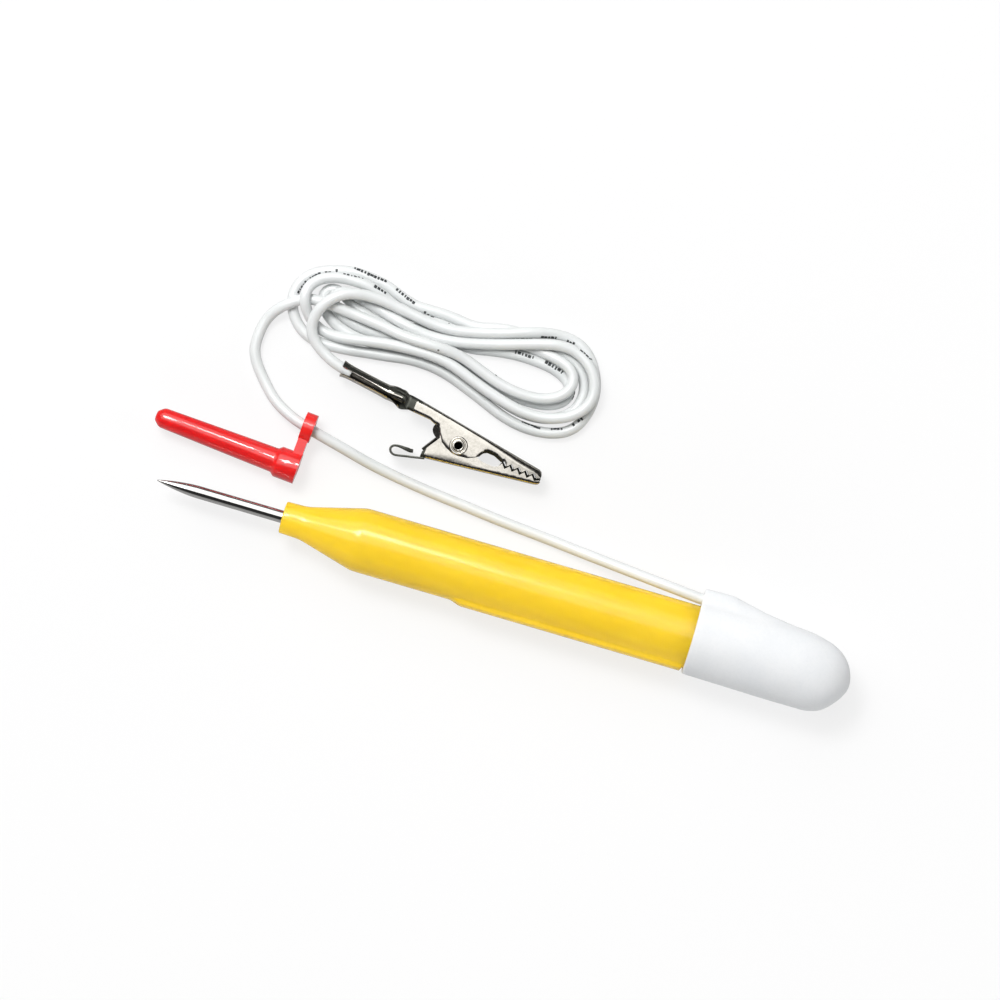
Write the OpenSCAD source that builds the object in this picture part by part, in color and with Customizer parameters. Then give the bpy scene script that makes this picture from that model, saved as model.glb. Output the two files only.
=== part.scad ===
// Continuity tester: a probe handle with a lamp in its cap, a lead and an alligator clip.
// Millimetres. The handle lies along +X with the probe's point towards -X, +Z is up.
// The handle rests on the floor on its barrel's shoulder and its cap, so its axis
// leans by a little under one degree.

/* [Handle] */
// Outside diameter of the barrel's tube
barrel_d = 14.56; // [14.2:0.02:14.7]
// Distance from the nose face to the shoulder where the tube starts
shoulder_x = 18.2; // [17:0.1:19]
// Height of the raised band along the barrel's side
band_h = 0.8; // [0.4:0.1:1]
// Length of the cylindrical part of the probe outside the nose
rod_len = 20.5; // [18:0.5:24]
// Diameter of the probe outside the nose
rod_d = 2.9; // [2.5:0.1:3.2]

/* [Cap] */
// Largest diameter of the lamp cap
cap_d = 17.56; // [17.2:0.02:18]
// Distance from the nose face to the end of the cap
cap_end = 132.8; // [132:0.1:136]
// Radial clearance of the cap on the barrel
cap_gap = 0.08; // [0.05:0.01:0.1]

/* [Lead] */
// Outside diameter of the lead
lead_d = 2.5; // [2.2:0.1:2.6]
// Height of the folded hank
hank_h = 6.4; // [5:0.1:8]

/* [Tip cover] */
// Diameter of the hole that takes the probe
cover_bore = 3; // [2.8:0.1:3.4]
// Depth of that hole
cover_depth = 30.5; // [28:0.5:31]
// Outside diameter of the collar
collar_d = 7.12; // [6.8:0.02:7.6]

/* [Clip] */
// Thickness of the jaws' sheet steel
sheet = 0.5; // [0.4:0.05:0.5]
// Outside width of the upper jaw
jaw_w = 6.4; // [6.2:0.1:6.6]
// Diameter of the rivet's body
rivet_d = 2.4; // [2.2:0.1:2.4]
// Diameter of the clip spring's wire
clip_wire = 0.45; // [0.35:0.05:0.5]

/* [Hidden] */
$fn = 64;

barrel_r = barrel_d / 2;
cap_r = cap_d / 2;
cap_rim = 95.8;          // where the cap's rim sits, from the nose face
cap_line = 114;          // the cap is widest from here on
barrel_end = 101.5;
bore_r = 5.45;           // room for the cells
lead_r = lead_d / 2;
lead_y = 8.83;           // distance of the lead from the handle's axis at the rim

// The handle's lean, and the height of its axis at the nose face
lean = atan((cap_r - barrel_r) / (cap_line - shoulder_x));
nose_z = barrel_r * cos(lean) - shoulder_x * sin(lean);
tip_x = rod_len + 9.1;   // length of probe outside the nose
mid_x = (cap_end - tip_x) / 2 * cos(lean);
mid_y = 1.33;

// Places a shape drawn along the handle's own axis
module lie() translate([-mid_x, -mid_y, nose_z]) rotate([0, -lean, 0]) children();
// Turns a rotate_extrude so that its axis runs along +X
module along_x() rotate([0, 90, 0]) children();

function unit(v) = v / norm(v);

// A tube of radius r along a list of points, as one closed skin
module sweep(p, r, sides = 8) {
    n = len(p);
    t = [for (i = [0:n - 1]) unit(p[min(i + 1, n - 1)] - p[max(i - 1, 0)])];
    pts = [for (i = [0:n - 1])
        let (a = unit(cross(t[i], abs(t[i].z) > 0.9 ? [1, 0, 0] : [0, 0, 1])), b = cross(t[i], a))
        for (k = [0:sides - 1]) p[i] + r * (cos(360 * k / sides) * a + sin(360 * k / sides) * b)];
    sidef = [for (i = [0:n - 2]) for (k = [0:sides - 1])
        [i * sides + k, i * sides + (k + 1) % sides, (i + 1) * sides + (k + 1) % sides, (i + 1) * sides + k]];
    polyhedron(pts, concat([[for (k = [sides - 1:-1:0]) k]], sidef,
        [[for (k = [0:sides - 1]) (n - 1) * sides + k]]), convexity = 10);
}

// Catmull-Rom point between b and c
function between(a, b, c, d, t) = 0.5 * (2 * b + (c - a) * t + (2 * a - 5 * b + 4 * c - d) * t * t
    + (3 * b - a - 3 * c + d) * t * t * t);
function smooth(p, m) = [for (i = [0:len(p) - 2]) for (k = [0:m - 1])
    between(p[max(i - 1, 0)], p[i], p[i + 1], p[min(i + 2, len(p) - 1)], k / m), p[len(p) - 1]];

// ---- handle ----

// Moulded in one piece: nose, flare, cone, tube, and a raised band on the -Y side
module barrel() color([0.97, 0.70, 0.05]) lie() difference() {
    union() {
        along_x() rotate_extrude() polygon([[0, 0], [3.58, 0], [3.85, 3.4], [4.05, 5], [4.4, 7],
            [4.85, 8.7], [5.6, 11.4], [6.4, 14.5], [barrel_r - 0.12, shoulder_x - 0.5],
            [barrel_r, shoulder_x], [barrel_r, barrel_end], [0, barrel_end]]);
        // raised band with a short ramp at its front end
        intersection() {
            along_x() rotate_extrude() polygon([[6, 40.8], [barrel_r - 0.05, 40.8], [barrel_r + band_h, 44.2],
                [barrel_r + band_h, cap_rim - 0.3], [6, cap_rim - 0.3]]);
            translate([40, -12, -3.2]) cube([60, 10, 6.4]);
        }
    }
    // hole for the probe's thicker shank, its head's pocket, the spring's pocket and the cells' bore
    translate([-1, 0, 0]) along_x() cylinder(h = 13, r = 1.67);
    translate([10.9, 0, 0]) along_x() cylinder(h = 5, r = 3.2);
    translate([15, 0, 0]) along_x() cylinder(h = barrel_end, r = bore_r);
    // seat for the lamp holder
    translate([95.5, 0, 0]) along_x() cylinder(h = 10, r = 6.0);
}

// Pointed steel rod with a thicker shank in the nose and a head inside
module probe() color([0.75, 0.76, 0.78]) lie() along_x() rotate_extrude() polygon([
    [0, -tip_x], [0.12, -tip_x + 0.1], [0.8, -tip_x + 3.6], [1.25, -tip_x + 6.9], [rod_d / 2, -rod_len],
    [rod_d / 2, 0], [1.65, 0], [1.65, 11], [2.7, 11], [2.7, 12.4], [0, 12.4]]);

// Compression spring as a swept wire
module coil(r, wire_r, x0, x1, turns, per = 14) sweep([for (i = [0:turns * per])
    [x0 + (x1 - x0) * i / (turns * per), r * cos(360 * i / per), r * sin(360 * i / per)]], wire_r, 6);

module front_spring() color([0.7, 0.7, 0.72]) lie() coil(2.3, 0.3, 12.75, 17.15, 4);

// AAA cell with its raised end towards the probe
module cell(x) translate([x, 0, 0]) along_x() rotate_extrude() polygon([[0, 0], [1.9, 0], [1.9, 0.9], [4.7, 0.9],
    [5.2, 1.4], [5.2, 43.9], [4.8, 44.4], [0, 44.4]]);
module cell_front() color([0.15, 0.35, 0.45]) lie() cell(17.5);
module cell_rear() color([0.15, 0.35, 0.45]) lie() cell(61.95);

// ---- lamp and its holder ----

// Moulded sleeve: its spigot plugs the barrel and holds the rear cell, its neck holds the socket
module lamp_holder() color([0.9, 0.9, 0.86]) lie() along_x() rotate_extrude() polygon([
    [5.35, 95.6], [5.95, 95.6], [5.95, barrel_end + 0.05], [7.0, barrel_end + 0.05], [7.0, 102.9], [6.3, 102.9],
    [6.3, 115], [5.2, 115], [5.2, 106.6], [5.35, 106.6]]);
// threaded shell of sheet brass, drawn without its thread
module lamp_socket() color([0.8, 0.68, 0.35]) lie() along_x() rotate_extrude() polygon([
    [4.8, 107.4], [5.15, 107.4], [5.15, 116.6], [5.5, 116.6], [5.5, 116.9], [4.8, 116.9]]);
module lamp_contact() color([0.6, 0.6, 0.62]) lie() along_x() rotate_extrude() polygon([
    [0, 106.4], [0.9, 106.4], [1.8, 106.9], [4.1, 108], [4.1, 108.4], [0, 108.4]]);
module lamp_shell() color([0.8, 0.68, 0.35]) lie() along_x() rotate_extrude() polygon([
    [0, 108.45], [4.2, 108.45], [4.72, 109.2], [4.72, 117.4], [4.0, 117.9], [0, 117.9]]);
module lamp_glass() color([0.92, 0.95, 0.97, 0.5]) lie() along_x() rotate_extrude() polygon([
    [0, 117.95], [3.9, 117.95], [4.4, 118.8], [4.9, 120.5], [4.9, 125.2], [4.5, 127.2], [3.6, 128.6],
    [2.2, 129.5], [0, 129.8]]);
// ring clamped on the holder's step, with an ear that the conductor is soldered to
module solder_tag() color([0.82, 0.72, 0.42]) lie() {
    translate([115.1, 0, 0]) along_x() difference() {
        union() {
            cylinder(h = 0.4, r = 6.4);
            translate([-1.3, 0, 0]) cube([2.6, 6.9, 0.4]);
        }
        translate([0, 0, -1]) cylinder(h = 3, r = 5.2);
    }
}

// ---- cap ----

cap_in = barrel_r + cap_gap;
module end_cap() color([0.93, 0.93, 0.92, 0.85]) lie() difference() {
    union() {
        along_x() rotate_extrude() polygon([[0, cap_rim], [cap_r - (cap_line - cap_rim) * tan(lean), cap_rim],
            [cap_r, cap_line], [cap_r, 119], [cap_r - 0.13, 122], [cap_r - 0.43, 124.7], [7.7, 127],
            [7.0, 128.5], [5.3, 130.5], [3.2, 131.9], [1.2, 132.65], [0, cap_end]]);
        // hump over the lead, tapering into the cap
        translate([cap_rim, lead_y, 0]) along_x() cylinder(h = 6.8, r = 2.6);
        translate([cap_rim + 6.7, lead_y, 0]) rotate([0, 90, -11]) cylinder(h = 12, r1 = 2.6, r2 = 2.4);
    }
    // room for the barrel, the holder and the lamp
    translate([cap_rim - 1, 0, 0]) along_x() cylinder(h = 124 - cap_rim, r = cap_in);
    along_x() rotate_extrude() polygon([[0, 122], [cap_in, 122], [cap_in, 124], [6.5, 126.2], [5.4, 128.2], [4, 129.8], [0, 130.9]]);
    // channel for the lead, open at the rim
    translate([cap_rim - 1, lead_y, 0]) along_x() cylinder(h = 9.8, r = lead_r + 0.3);
}

// ---- lead ----
// Points of the lead's middle line, in the part's own frame
lead_z = nose_z + 96 * sin(lean);
run_pts = [[50.9, 7.5, 8.6], [47.5, 7.5, 8.55], [44.2, 7.5, 8.5], [40, 7.8, 8.3], [34, 8.3, 7.6], [28, 8.8, 5.8], [22, 9.3, 3.9],
    [15, 9.9, 2.2], [7.5, 10.6, 1.3], [-4.5, 11.6, 1.25], [-13, 12.5, 1.25], [-20, 13.2, 1.25], [-28.5, 14.3, 1.4],
    [-36, 15.6, 1.9], [-43.5, 17.4, 2.7], [-52.3, 19.6, 3.4], [-56.5, 21, 3], [-61, 23.5, 2], [-64.6, 27, 1.4],
    [-67.4, 30.5, 1.25], [-68.6, 33, 1.25], [-68.9, 36, 1.25], [-68.6, 39, 1.4], [-67.2, 42.4, 2.2], [-64.6, 44.9, 3.3]];
tail_pts = [[-55.4, 38.2, 3.7], [-53.5, 36.8, 3.7], [-50.8, 35.5, 3.65], [-48, 34.6, 3.6], [-45, 33.9, 3.6], [-42, 33.4, 3.6]];

module lead_run() color([0.95, 0.95, 0.94]) sweep(smooth(run_pts, 2), lead_r);
module lead_tail() color([0.95, 0.95, 0.94]) sweep(smooth(tail_pts, 2), lead_r);
// The folded hank, as the outline of its outer shape
module lead_hank() color([0.95, 0.95, 0.94]) union() {
    translate([-55.5, 47.3, 0]) cylinder(h = hank_h, r = 10.4);
    translate([-2.8, 44.9, 0]) cylinder(h = hank_h, r = 11.5);
    linear_extrude(height = hank_h) polygon([[-56, 57.6], [-45, 57.2], [-30, 52], [-17, 53.3], [-4, 56.2], [-4, 33.6], [-11, 33.6], [-27, 39.2],
        [-36, 39.7], [-48.5, 38], [-56, 37.8]]);
}
// Bared ends of the conductor
module core_lamp_end() color([0.8, 0.5, 0.3]) lie()
    sweep([[102.6, lead_y, 0], [103.2, 8.6, 0], [103.9, 7.8, 0], [104.7, 7, 0], [106, 6.75, 0], [115.05, 6.75, 0]], 0.25, 8);

// ---- clip ----
clip_x = -18.2;
clip_y = 25.2;
clip_turn = -5.46;
clip_z = jaw_w / 2 + 0.4;
// The clip's own frame: origin at the pivot, +X towards the jaws' points, +Y towards the upper jaw
module on_clip() translate([clip_x, clip_y, clip_z]) rotate([0, 0, clip_turn]) children();
// Extrudes an outline drawn in the clip's plane between two heights, and its mirror image below
module both(z0, z1) for (s = [0, 1]) mirror([0, 0, s]) translate([0, 0, z0]) linear_extrude(height = z1 - z0) children();
// Extrudes an outline drawn in plan (along, across) between two levels of the clip's plane
module plan(y0, y1) translate([0, y1, 0]) rotate([90, 0, 0]) linear_extrude(height = y1 - y0) children();

half_w = jaw_w / 2;
low_w = half_w - sheet - 0.2;      // half width of the lower jaw
pitch = 1.8;
module clip_upper_jaw() color([0.78, 0.78, 0.77]) on_clip() difference() {
    union() {
        both(half_w - sheet, half_w) polygon(concat(
            [[-13.9, 6.7], [-13.9, 3.4], [-8.2, 3.1], [-7.1, 2.65], [-5.6, 2.55], [-4.8, 0.85], [-3.8, -0.6], [-2.5, -1.45],
             [-0.85, -2.1], [0.6, -2.2], [2.9, -1.85], [4.4, -1], [5.3, -0.3], [5.7, 0.9], [6.6, 1.35], [8.3, 1.35],
             [9.4, 0.9], [10.3, 0.35]],
            [for (i = [0:4]) each [[10.9 + i * pitch, 0.65], [11.8 + i * pitch, -0.35]]],
            [[19.9, 0.1], [19.8, 1.3], [19.3, 1.75], [-9.4, 6.1]]));
        // the sheet folded over along the top
        translate([0, 0, -half_w + sheet / 2]) linear_extrude(height = jaw_w - sheet) polygon([[-13.9, 6.7], [-9.4, 6.1], [19.3, 1.75], [19.8, 1.3],
            [19.4, 0.9], [19.1, 1.27], [-9.4, 5.6], [-13.9, 6.2]]);
        // the neck, narrowing to the cable trough
        for (s = [-1, 1]) plan(3.6, 6.7) polygon([[-19.6, s * 1.02], [-19.6, s * 1.55], [-13.6, s * half_w], [-13.6, s * (half_w - 0.52)]]);
        plan(6.2, 6.7) polygon([[-19.6, -1.5], [-13.6, -half_w + 0.1], [-13.6, half_w - 0.1], [-19.6, 1.5]]);
        // rolled cable trough
        translate([-30.7, 6.48, 0]) rotate([0, 90, -5.9]) difference() {
            cylinder(h = 11.6, r = 1.6);
            translate([0, 0, -1]) cylinder(h = 13.6, r = lead_r + 0.03);
        }
    }
    translate([0, 0, -10]) cylinder(h = 20, r = rivet_d / 2 + 0.01);
}
module clip_lower_jaw() color([0.78, 0.78, 0.77]) on_clip() difference() {
    union() {
        both(low_w - sheet, low_w) polygon(concat(
            [[-6.4, -5.5], [-7.2, -4.2], [-4.6, 0], [-3.4, 1.7], [-1.5, 2.6], [1, 2.6], [2.8, 1.6], [4, 0], [5.4, -1.2], [8.4, -1.5], [10, -1]],
            [for (i = [0:4]) each [[10.6 + i * pitch, -0.05], [11.5 + i * pitch, -1.05]]],
            [[19.8, -0.5], [20, -1.3], [19.5, -1.75], [4.3, -4]]));
        // the sheet folded under along the bottom
        translate([0, 0, -low_w + sheet / 2]) linear_extrude(height = 2 * low_w - sheet) polygon([[-6.4, -5.5], [4.3, -4], [19.5, -1.75], [20, -1.3],
            [19.6, -0.9], [19.2, -1.22], [4.3, -3.5], [-6.5, -5]]);
        // thumb tab with its curled end
        translate([0, 0, -low_w]) linear_extrude(height = 2 * low_w) polygon([[-6.3, -5.5], [-12.6, -7.1], [-12.8, -6.6], [-6.9, -5]]);
        translate([-12.9, -6.1, -low_w]) difference() {
            cylinder(h = 2 * low_w, r = 1);
            translate([0, 0, -1]) cylinder(h = 2 * low_w + 2, r = 0.5);
        }
    }
    translate([0, 0, -10]) cylinder(h = 20, r = rivet_d / 2 + 0.05);
}
// Semi-tubular rivet: a head on one side, its rim spread over the other, and a blind hole
module clip_rivet() color([0.82, 0.82, 0.8]) on_clip() rotate_extrude() polygon([[0, -half_w - 0.4], [1.7, -half_w - 0.4],
    [2.1, -half_w - 0.2], [2.1, -half_w - 0.01], [rivet_d / 2, -half_w - 0.01], [rivet_d / 2, half_w + 0.01], [2.1, half_w + 0.01],
    [2.1, half_w + 0.2], [1.7, half_w + 0.4], [0.83, half_w + 0.4], [0.83, -0.6], [0, -1.4]]);
// Torsion spring: coils round the rivet, with a leg to each jaw's back
module clip_spring() color([0.6, 0.61, 0.63]) on_clip() sweep(concat(
    [[-7.6, 4.9, -1.5], [-3.5, 3.25, -1.5]],
    [for (i = [0:48]) let (a = 68 - i * 1215.9 / 48) [1.72 * cos(a), 1.72 * sin(a), -1.5 + 3 * i / 48]],
    [[-2.8, -3, 1.5], [-6.2, -4.4, 1.5]]), clip_wire / 2, 6);
module core_clip_end() color([0.8, 0.5, 0.3]) on_clip()
    sweep([[-24.45, 5.84, 0], [-21, 5.5, 0], [-17, 5.1, 0], [-14.5, 4.9, 0]], 0.5, 8);

// ---- tip cover ----
// Collar and body over the probe, an arm on one side and a ring that the lead passes through
cover_x = -51.6;
cover_y = 9.97;
cover_turn = 175.55;
ring_y = 9.6;
module tip_cover() color([0.83, 0.05, 0.06]) translate([cover_x, cover_y, collar_d / 2]) rotate([0, 0, cover_turn]) difference() {
    union() {
        along_x() rotate_extrude() polygon([[0, 0], [collar_d / 2, 0], [collar_d / 2, 4.85], [2.85, 5.7], [2.3, 32.6], [1.3, 33.9],
            [1.1, 34.2], [0, 34.2]]);
        // arm and ring boss, on the side away from the handle
        translate([0.1, -ring_y, -1.6]) cube([2.2, ring_y - 2, 3.2]);
        translate([-0.2, -ring_y, 0]) along_x() cylinder(h = 2.6, r = 3.3);
    }
    translate([-1, 0, 0]) along_x() cylinder(h = cover_depth + 1, r = cover_bore / 2);
    translate([-2, -ring_y, 0]) along_x() cylinder(h = 6, r = 1.8);
}

barrel();
probe();
front_spring();
cell_front();
cell_rear();
lamp_holder();
lamp_socket();
lamp_contact();
lamp_shell();
lamp_glass();
solder_tag();
core_lamp_end();
end_cap();
lead_run();
lead_hank();
lead_tail();
core_clip_end();
clip_upper_jaw();
clip_lower_jaw();
clip_rivet();
clip_spring();
tip_cover();
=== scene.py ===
"""Looks of the continuity tester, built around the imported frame.

Lengths in the shape code are millimetres, in three local frames:
  handle: x along the axis from the nose face, y across (towards the lead), z up
  clip:   u from the pivot towards the jaws' points, v towards the upper jaw, z up
  cover:  x from the collar's mouth towards the closed end
"""
import math

import bmesh
import bpy
import numpy as np
from mathutils import Matrix, Vector


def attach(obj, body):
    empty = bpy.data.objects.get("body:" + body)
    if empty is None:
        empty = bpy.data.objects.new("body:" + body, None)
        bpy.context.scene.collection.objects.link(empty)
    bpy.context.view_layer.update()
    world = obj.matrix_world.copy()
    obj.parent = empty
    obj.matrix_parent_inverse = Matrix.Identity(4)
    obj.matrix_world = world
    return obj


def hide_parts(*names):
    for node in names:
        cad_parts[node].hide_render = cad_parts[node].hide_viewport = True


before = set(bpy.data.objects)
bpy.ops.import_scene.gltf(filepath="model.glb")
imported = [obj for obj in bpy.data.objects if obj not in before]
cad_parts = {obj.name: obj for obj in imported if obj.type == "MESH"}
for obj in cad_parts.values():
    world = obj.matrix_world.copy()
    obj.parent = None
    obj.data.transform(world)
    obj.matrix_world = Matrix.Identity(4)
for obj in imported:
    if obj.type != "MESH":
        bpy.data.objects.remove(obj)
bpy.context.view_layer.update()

MM = 0.001
TAU = 2 * math.pi

# ---------------------------------------------------------------- frames
LEAN = math.atan((8.78 - 7.28) / (114 - 18.2))
NOSE_Z = 7.28 * math.cos(LEAN) - 18.2 * math.sin(LEAN)
MID_X = (132.8 - 29.6) / 2 * math.cos(LEAN)
MID_Y = 1.33


def from_handle(p):
    p = np.asarray(p, float)
    c, s = math.cos(LEAN), math.sin(LEAN)
    return np.stack([p[..., 0] * c - p[..., 2] * s - MID_X, p[..., 1] - MID_Y, p[..., 0] * s + p[..., 2] * c + NOSE_Z], -1)


def turned(p, deg, at):
    p = np.asarray(p, float)
    c, s = math.cos(math.radians(deg)), math.sin(math.radians(deg))
    return np.stack([p[..., 0] * c - p[..., 1] * s + at[0], p[..., 0] * s + p[..., 1] * c + at[1], p[..., 2] + at[2]], -1)


def from_clip(p):
    return turned(p, -5.46, (-18.2, 25.2, 3.6))


def from_cover(p):
    return turned(p, 175.55, (-51.6, 9.97, 3.56))


# ---------------------------------------------------------------- camera
# The view is straight down. A step of one picture pixel is 0.2256 mm in the object's plane.
PX = 0.2256
VIEW_TURN = math.radians(16.34)
cam_data = bpy.data.cameras.new("camera")
cam_data.sensor_width = 36
cam_data.lens = 150
camera = bpy.data.objects.new("camera", cam_data)
bpy.context.scene.collection.objects.link(camera)
camera.location = (-0.0058, 0.0161, 0.005 + 1000 * PX * MM * 150 / 36)
camera.rotation_euler = (0, 0, VIEW_TURN)
cam_data.clip_start = 0.01
bpy.context.scene.camera = camera


def on_floor(x, y):
    """a place in the picture, in pixels, as the row frame's x and y in millimetres"""
    along = ((x - 283.75) * 0.9596 + (y - 516) * 0.2814) * PX
    across = ((x - 283.75) * 0.2814 - (y - 516) * 0.9596 + 1.2) * PX
    return along * 0.99988 - 51.594, across - 1.33


# ---------------------------------------------------------------- the lead
LEAD_D = 2.5
# Same points as the CAD route: from inside the cap, down to the floor, through the cover's ring, up to the hank
RUN = [(50.9, 7.5, 8.6), (47.5, 7.5, 8.55), (44.2, 7.5, 8.5), (40, 7.8, 8.3), (34, 8.3, 7.6), (28, 8.8, 5.8), (22, 9.3, 3.9),
       (15, 9.9, 2.2), (7.5, 10.6, 1.3), (-4.5, 11.6, 1.25), (-13, 12.5, 1.25), (-20, 13.2, 1.25), (-28.5, 14.3, 1.4),
       (-36, 15.6, 1.9), (-43.5, 17.4, 2.7), (-52.3, 19.6, 3.4), (-56.5, 21, 3), (-61, 23.5, 2), (-64.6, 27, 1.4),
       (-67.4, 30.5, 1.25), (-68.6, 33, 1.25), (-68.9, 36, 1.25), (-68.6, 39, 1.4), (-67.2, 42.4, 2.2), (-64.6, 44.9, 3.3)]
TAIL = [(-55.4, 38.2, 3.7), (-53.5, 36.8, 3.7), (-50.8, 35.5, 3.65), (-48, 34.6, 3.6), (-46.2, 34.1, 3.6)]
# The hank, strand by strand: place in the picture, height above the floor in diameters, and how well it is seen
HANK = [
    # over the outer loop and into the first strand
    (303, 298, 1.0, 1), (314, 299, 1.1, 1), (326, 302.5, 1.1, 1), (340, 308.5, 1.2, 1), (350, 312.5, 1.1, .8), (360, 316.5, 1, .8),
    (380, 325, 1, .8), (400, 334, 1, .6), (420, 341, .9, .3), (435, 345, .9, .3), (448, 349.5, 1, .5),
    (460, 355.5, 1, 1), (480, 370, 1, 1), (500, 384.5, 1, 1), (520, 394, 1, 1), (540, 399.3, 1, 1), (555, 398.5, 1, 1),
    # innermost right loop, back under the upper strands
    (566, 394, 1, 1), (573, 387, 1, 1), (575.5, 379, 1, 1), (573, 371, 1, 1), (565, 363, .9, 1),
    (552, 356, .7, .5), (535, 350.5, .6, .2), (515, 345.5, .75, .1), (495, 342.5, .75, .1), (475, 340, .6, .1), (460, 337, .3, .1),
    (447, 334, 0, .1), (433, 328, 0, .1), (420, 321, 0, .2), (405, 310, 0, .4), (390, 298.5, .3, .7), (380, 291, .6, 1), (370, 286, .8, 1),
    (357.4, 281.3, .95, 1), (338, 276.8, 1.1, 1),
    # middle left loop
    (319, 278.7, 1.5, 1), (306.4, 288.3, 2, 1), (303, 297.4, 2.1, 1), (306.3, 310.1, 1.6, 1), (312, 322, 1.1, .7), (321.6, 331.2, .7, .8),
    (332, 335, .7, 1), (344.6, 338, .8, 1), (362, 340.5, 1, 1), (380, 342.5, 1, 1), (400, 346.5, 1, 1), (420, 351.5, 1, 1), (440, 358.5, 1, 1),
    (455, 367, 1, 1), (470, 378.5, 1, 1), (485, 389.5, 1, 1), (500, 399.5, 1, 1), (520, 411, 1, 1), (540, 417.5, 1, 1), (557, 419, 1, 1),
    # outermost right loop, over the others
    (572, 416, 1.1, 1), (585, 409.5, 1.1, 1), (593.5, 399, 1.1, 1), (595.3, 387, 1.1, 1), (594.8, 377, 1.15, 1), (591.5, 368.5, 1.3, 1),
    (586.5, 361, 1.5, 1), (580, 354, 1.6, 1), (571, 348.5, 1.6, 1), (560, 345.3, 1.6, 1), (548, 344, 1.6, 1), (530, 344, 1.7, 1),
    (510, 344.3, 1.75, 1), (490, 344, 1.75, 1), (470, 343, 1.6, 1), (455, 342, 1.5, 1), (440, 339, 1.5, 1), (425, 334.5, 1.6, 1),
    (410, 328, 1.5, 1), (395, 319, 1.3, 1), (380, 309.5, 1.1, 1), (365, 301.5, 1, .8), (354, 295, 1, .3),
    # first inner left loop
    (345, 289.5, 1, .2), (337, 288, .9, .2), (331, 292, .6, .2), (330, 300, .3, .3), (334, 309, .1, .6), (341, 316.5, 0, 1),
    (350, 322.5, 0, 1), (360, 327, 0, 1), (370, 331, 0, 1), (380, 334, 0, .4), (400, 338, 0, .1), (420, 341, 0, .1), (440, 349, 0, .1),
    (460, 359, 0, .2), (480, 373, 0, .3), (500, 387, 0, .6), (520, 398.5, 0, .8), (545, 405, 0, 1), (556, 404.8, 0, 1),
    # right loop below the innermost one
    (566, 401.5, 0, .8), (572, 396, 0, .5), (573, 389, 0, .4), (569.5, 382, 0, .5), (563.5, 375.8, 0, .8),
    (555, 369, 0, 1), (542.5, 363, 0, 1), (521.5, 355.7, 0, 1), (501, 351.5, 0, 1), (480, 349, 0, .6), (465, 347.5, 0, .2),
    (450, 345, .1, .1), (435, 341, .3, .1), (420, 335.5, .6, .1), (405, 331.5, .4, .3), (390, 329, 0, .6), (378, 322.5, 0, .8),
    (368, 315.5, 0, 1), (358, 308.5, 0, 1), (350, 302.5, .1, .6),
    # second inner left loop
    (341, 295, .1, .2), (332, 289, 0, .2), (323, 289.5, 0, .2), (318.5, 296, 0, .2), (319.5, 304.5, 0, .3), (324.5, 312, 0, .5),
    (332, 317.5, 0, .8), (338.5, 325, 0, .8), (347, 331, 0, .5), (362, 336.5, 0, .1), (380, 341.5, 0, .1), (400, 345.5, 0, .1),
    (420, 350.5, 0, .1), (440, 358, 0, .1), (460, 369, 0, .1), (480, 383, 0, .1), (500, 399, 0, .2), (520, 412, 0, .3), (540, 418, 0, .4),
    (553, 419, 0, .4),
    # right loop between the innermost and the outermost
    (565, 416.5, 0, .6), (575, 410.5, 0, 1), (582.5, 401, 0, 1), (585.5, 390, 0, 1), (585, 379, 0, 1), (580.5, 369, 0, 1), (573, 361, 0, .8),
    (562, 354, 0, .3), (548, 347, 0, .1), (530, 341, 0, .1), (510, 337, 0, .1), (490, 335.5, 0, .1), (470, 333, 0, .1), (455, 330, 0, .1),
    (442, 324, 0, .2), (430, 317.5, 0, .3), (415, 307.5, 0, .5), (400, 296.5, 0, 1), (385, 285.5, 0, 1), (370, 277, 0, 1),
    (352, 270.9, 0, 1), (335, 269.9, 0, 1),
    # outermost left loop
    (316.5, 271, 0, 1), (303.8, 276.4, 0, 1), (295.5, 285, 0, 1), (291.5, 295.5, 0, 1), (291, 306, 0, 1), (293, 316, 0, 1),
    (297.4, 324.8, 0, 1), (304, 333.5, 0, 1), (315, 341, 0, 1), (330, 345.5, 0, 1), (344.6, 349, 0, 1), (362, 351.5, 0, 1),
    (380, 353.5, 0, 1), (400, 356.5, 0, 1), (420, 361.5, 0, 1), (435, 367.5, 0, 1), (450, 376, 0, 1), (465, 387, 0, 1), (480, 398, 0, 1),
    (500, 414.5, 0, 1), (520, 426, 0, 1), (535, 431, 0, 1), (550, 433.5, 0, 1), (563, 433, 0, 1),
    # lowest right loop
    (574, 429.5, 0, 1), (582, 422, 0, .8), (588, 413, 0, .5), (592, 402, 0, .3), (594, 390, 0, .3), (594.5, 378, 0, .3),
    (593.5, 367, .1, .5), (589.5, 355.5, .3, .8), (581.5, 345, .6, 1), (568, 337, .8, 1), (548, 333, 1, 1), (530, 332.5, 1.1, 1),
    (510, 333, 1.2, 1), (490, 333.5, 1.25, 1), (470, 333, 1.2, 1), (455, 330.8, 1.1, 1), (440, 327, 1, 1), (420, 318.5, 1.1, 1),
    (400, 308.5, 1.2, 1), (385, 301.5, 1.5, 1), (370, 296, 1.8, 1), (354.8, 293.6, 2, 1),
    # top left loop, down to the clip
    (341, 294.5, 2.1, 1), (329.3, 299.9, 2.2, 1), (319, 309, 2.2, 1), (311.5, 322, 2.1, 1), (311, 333, 1.6, 1), (314.5, 342, 1.2, 1),
]


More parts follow.
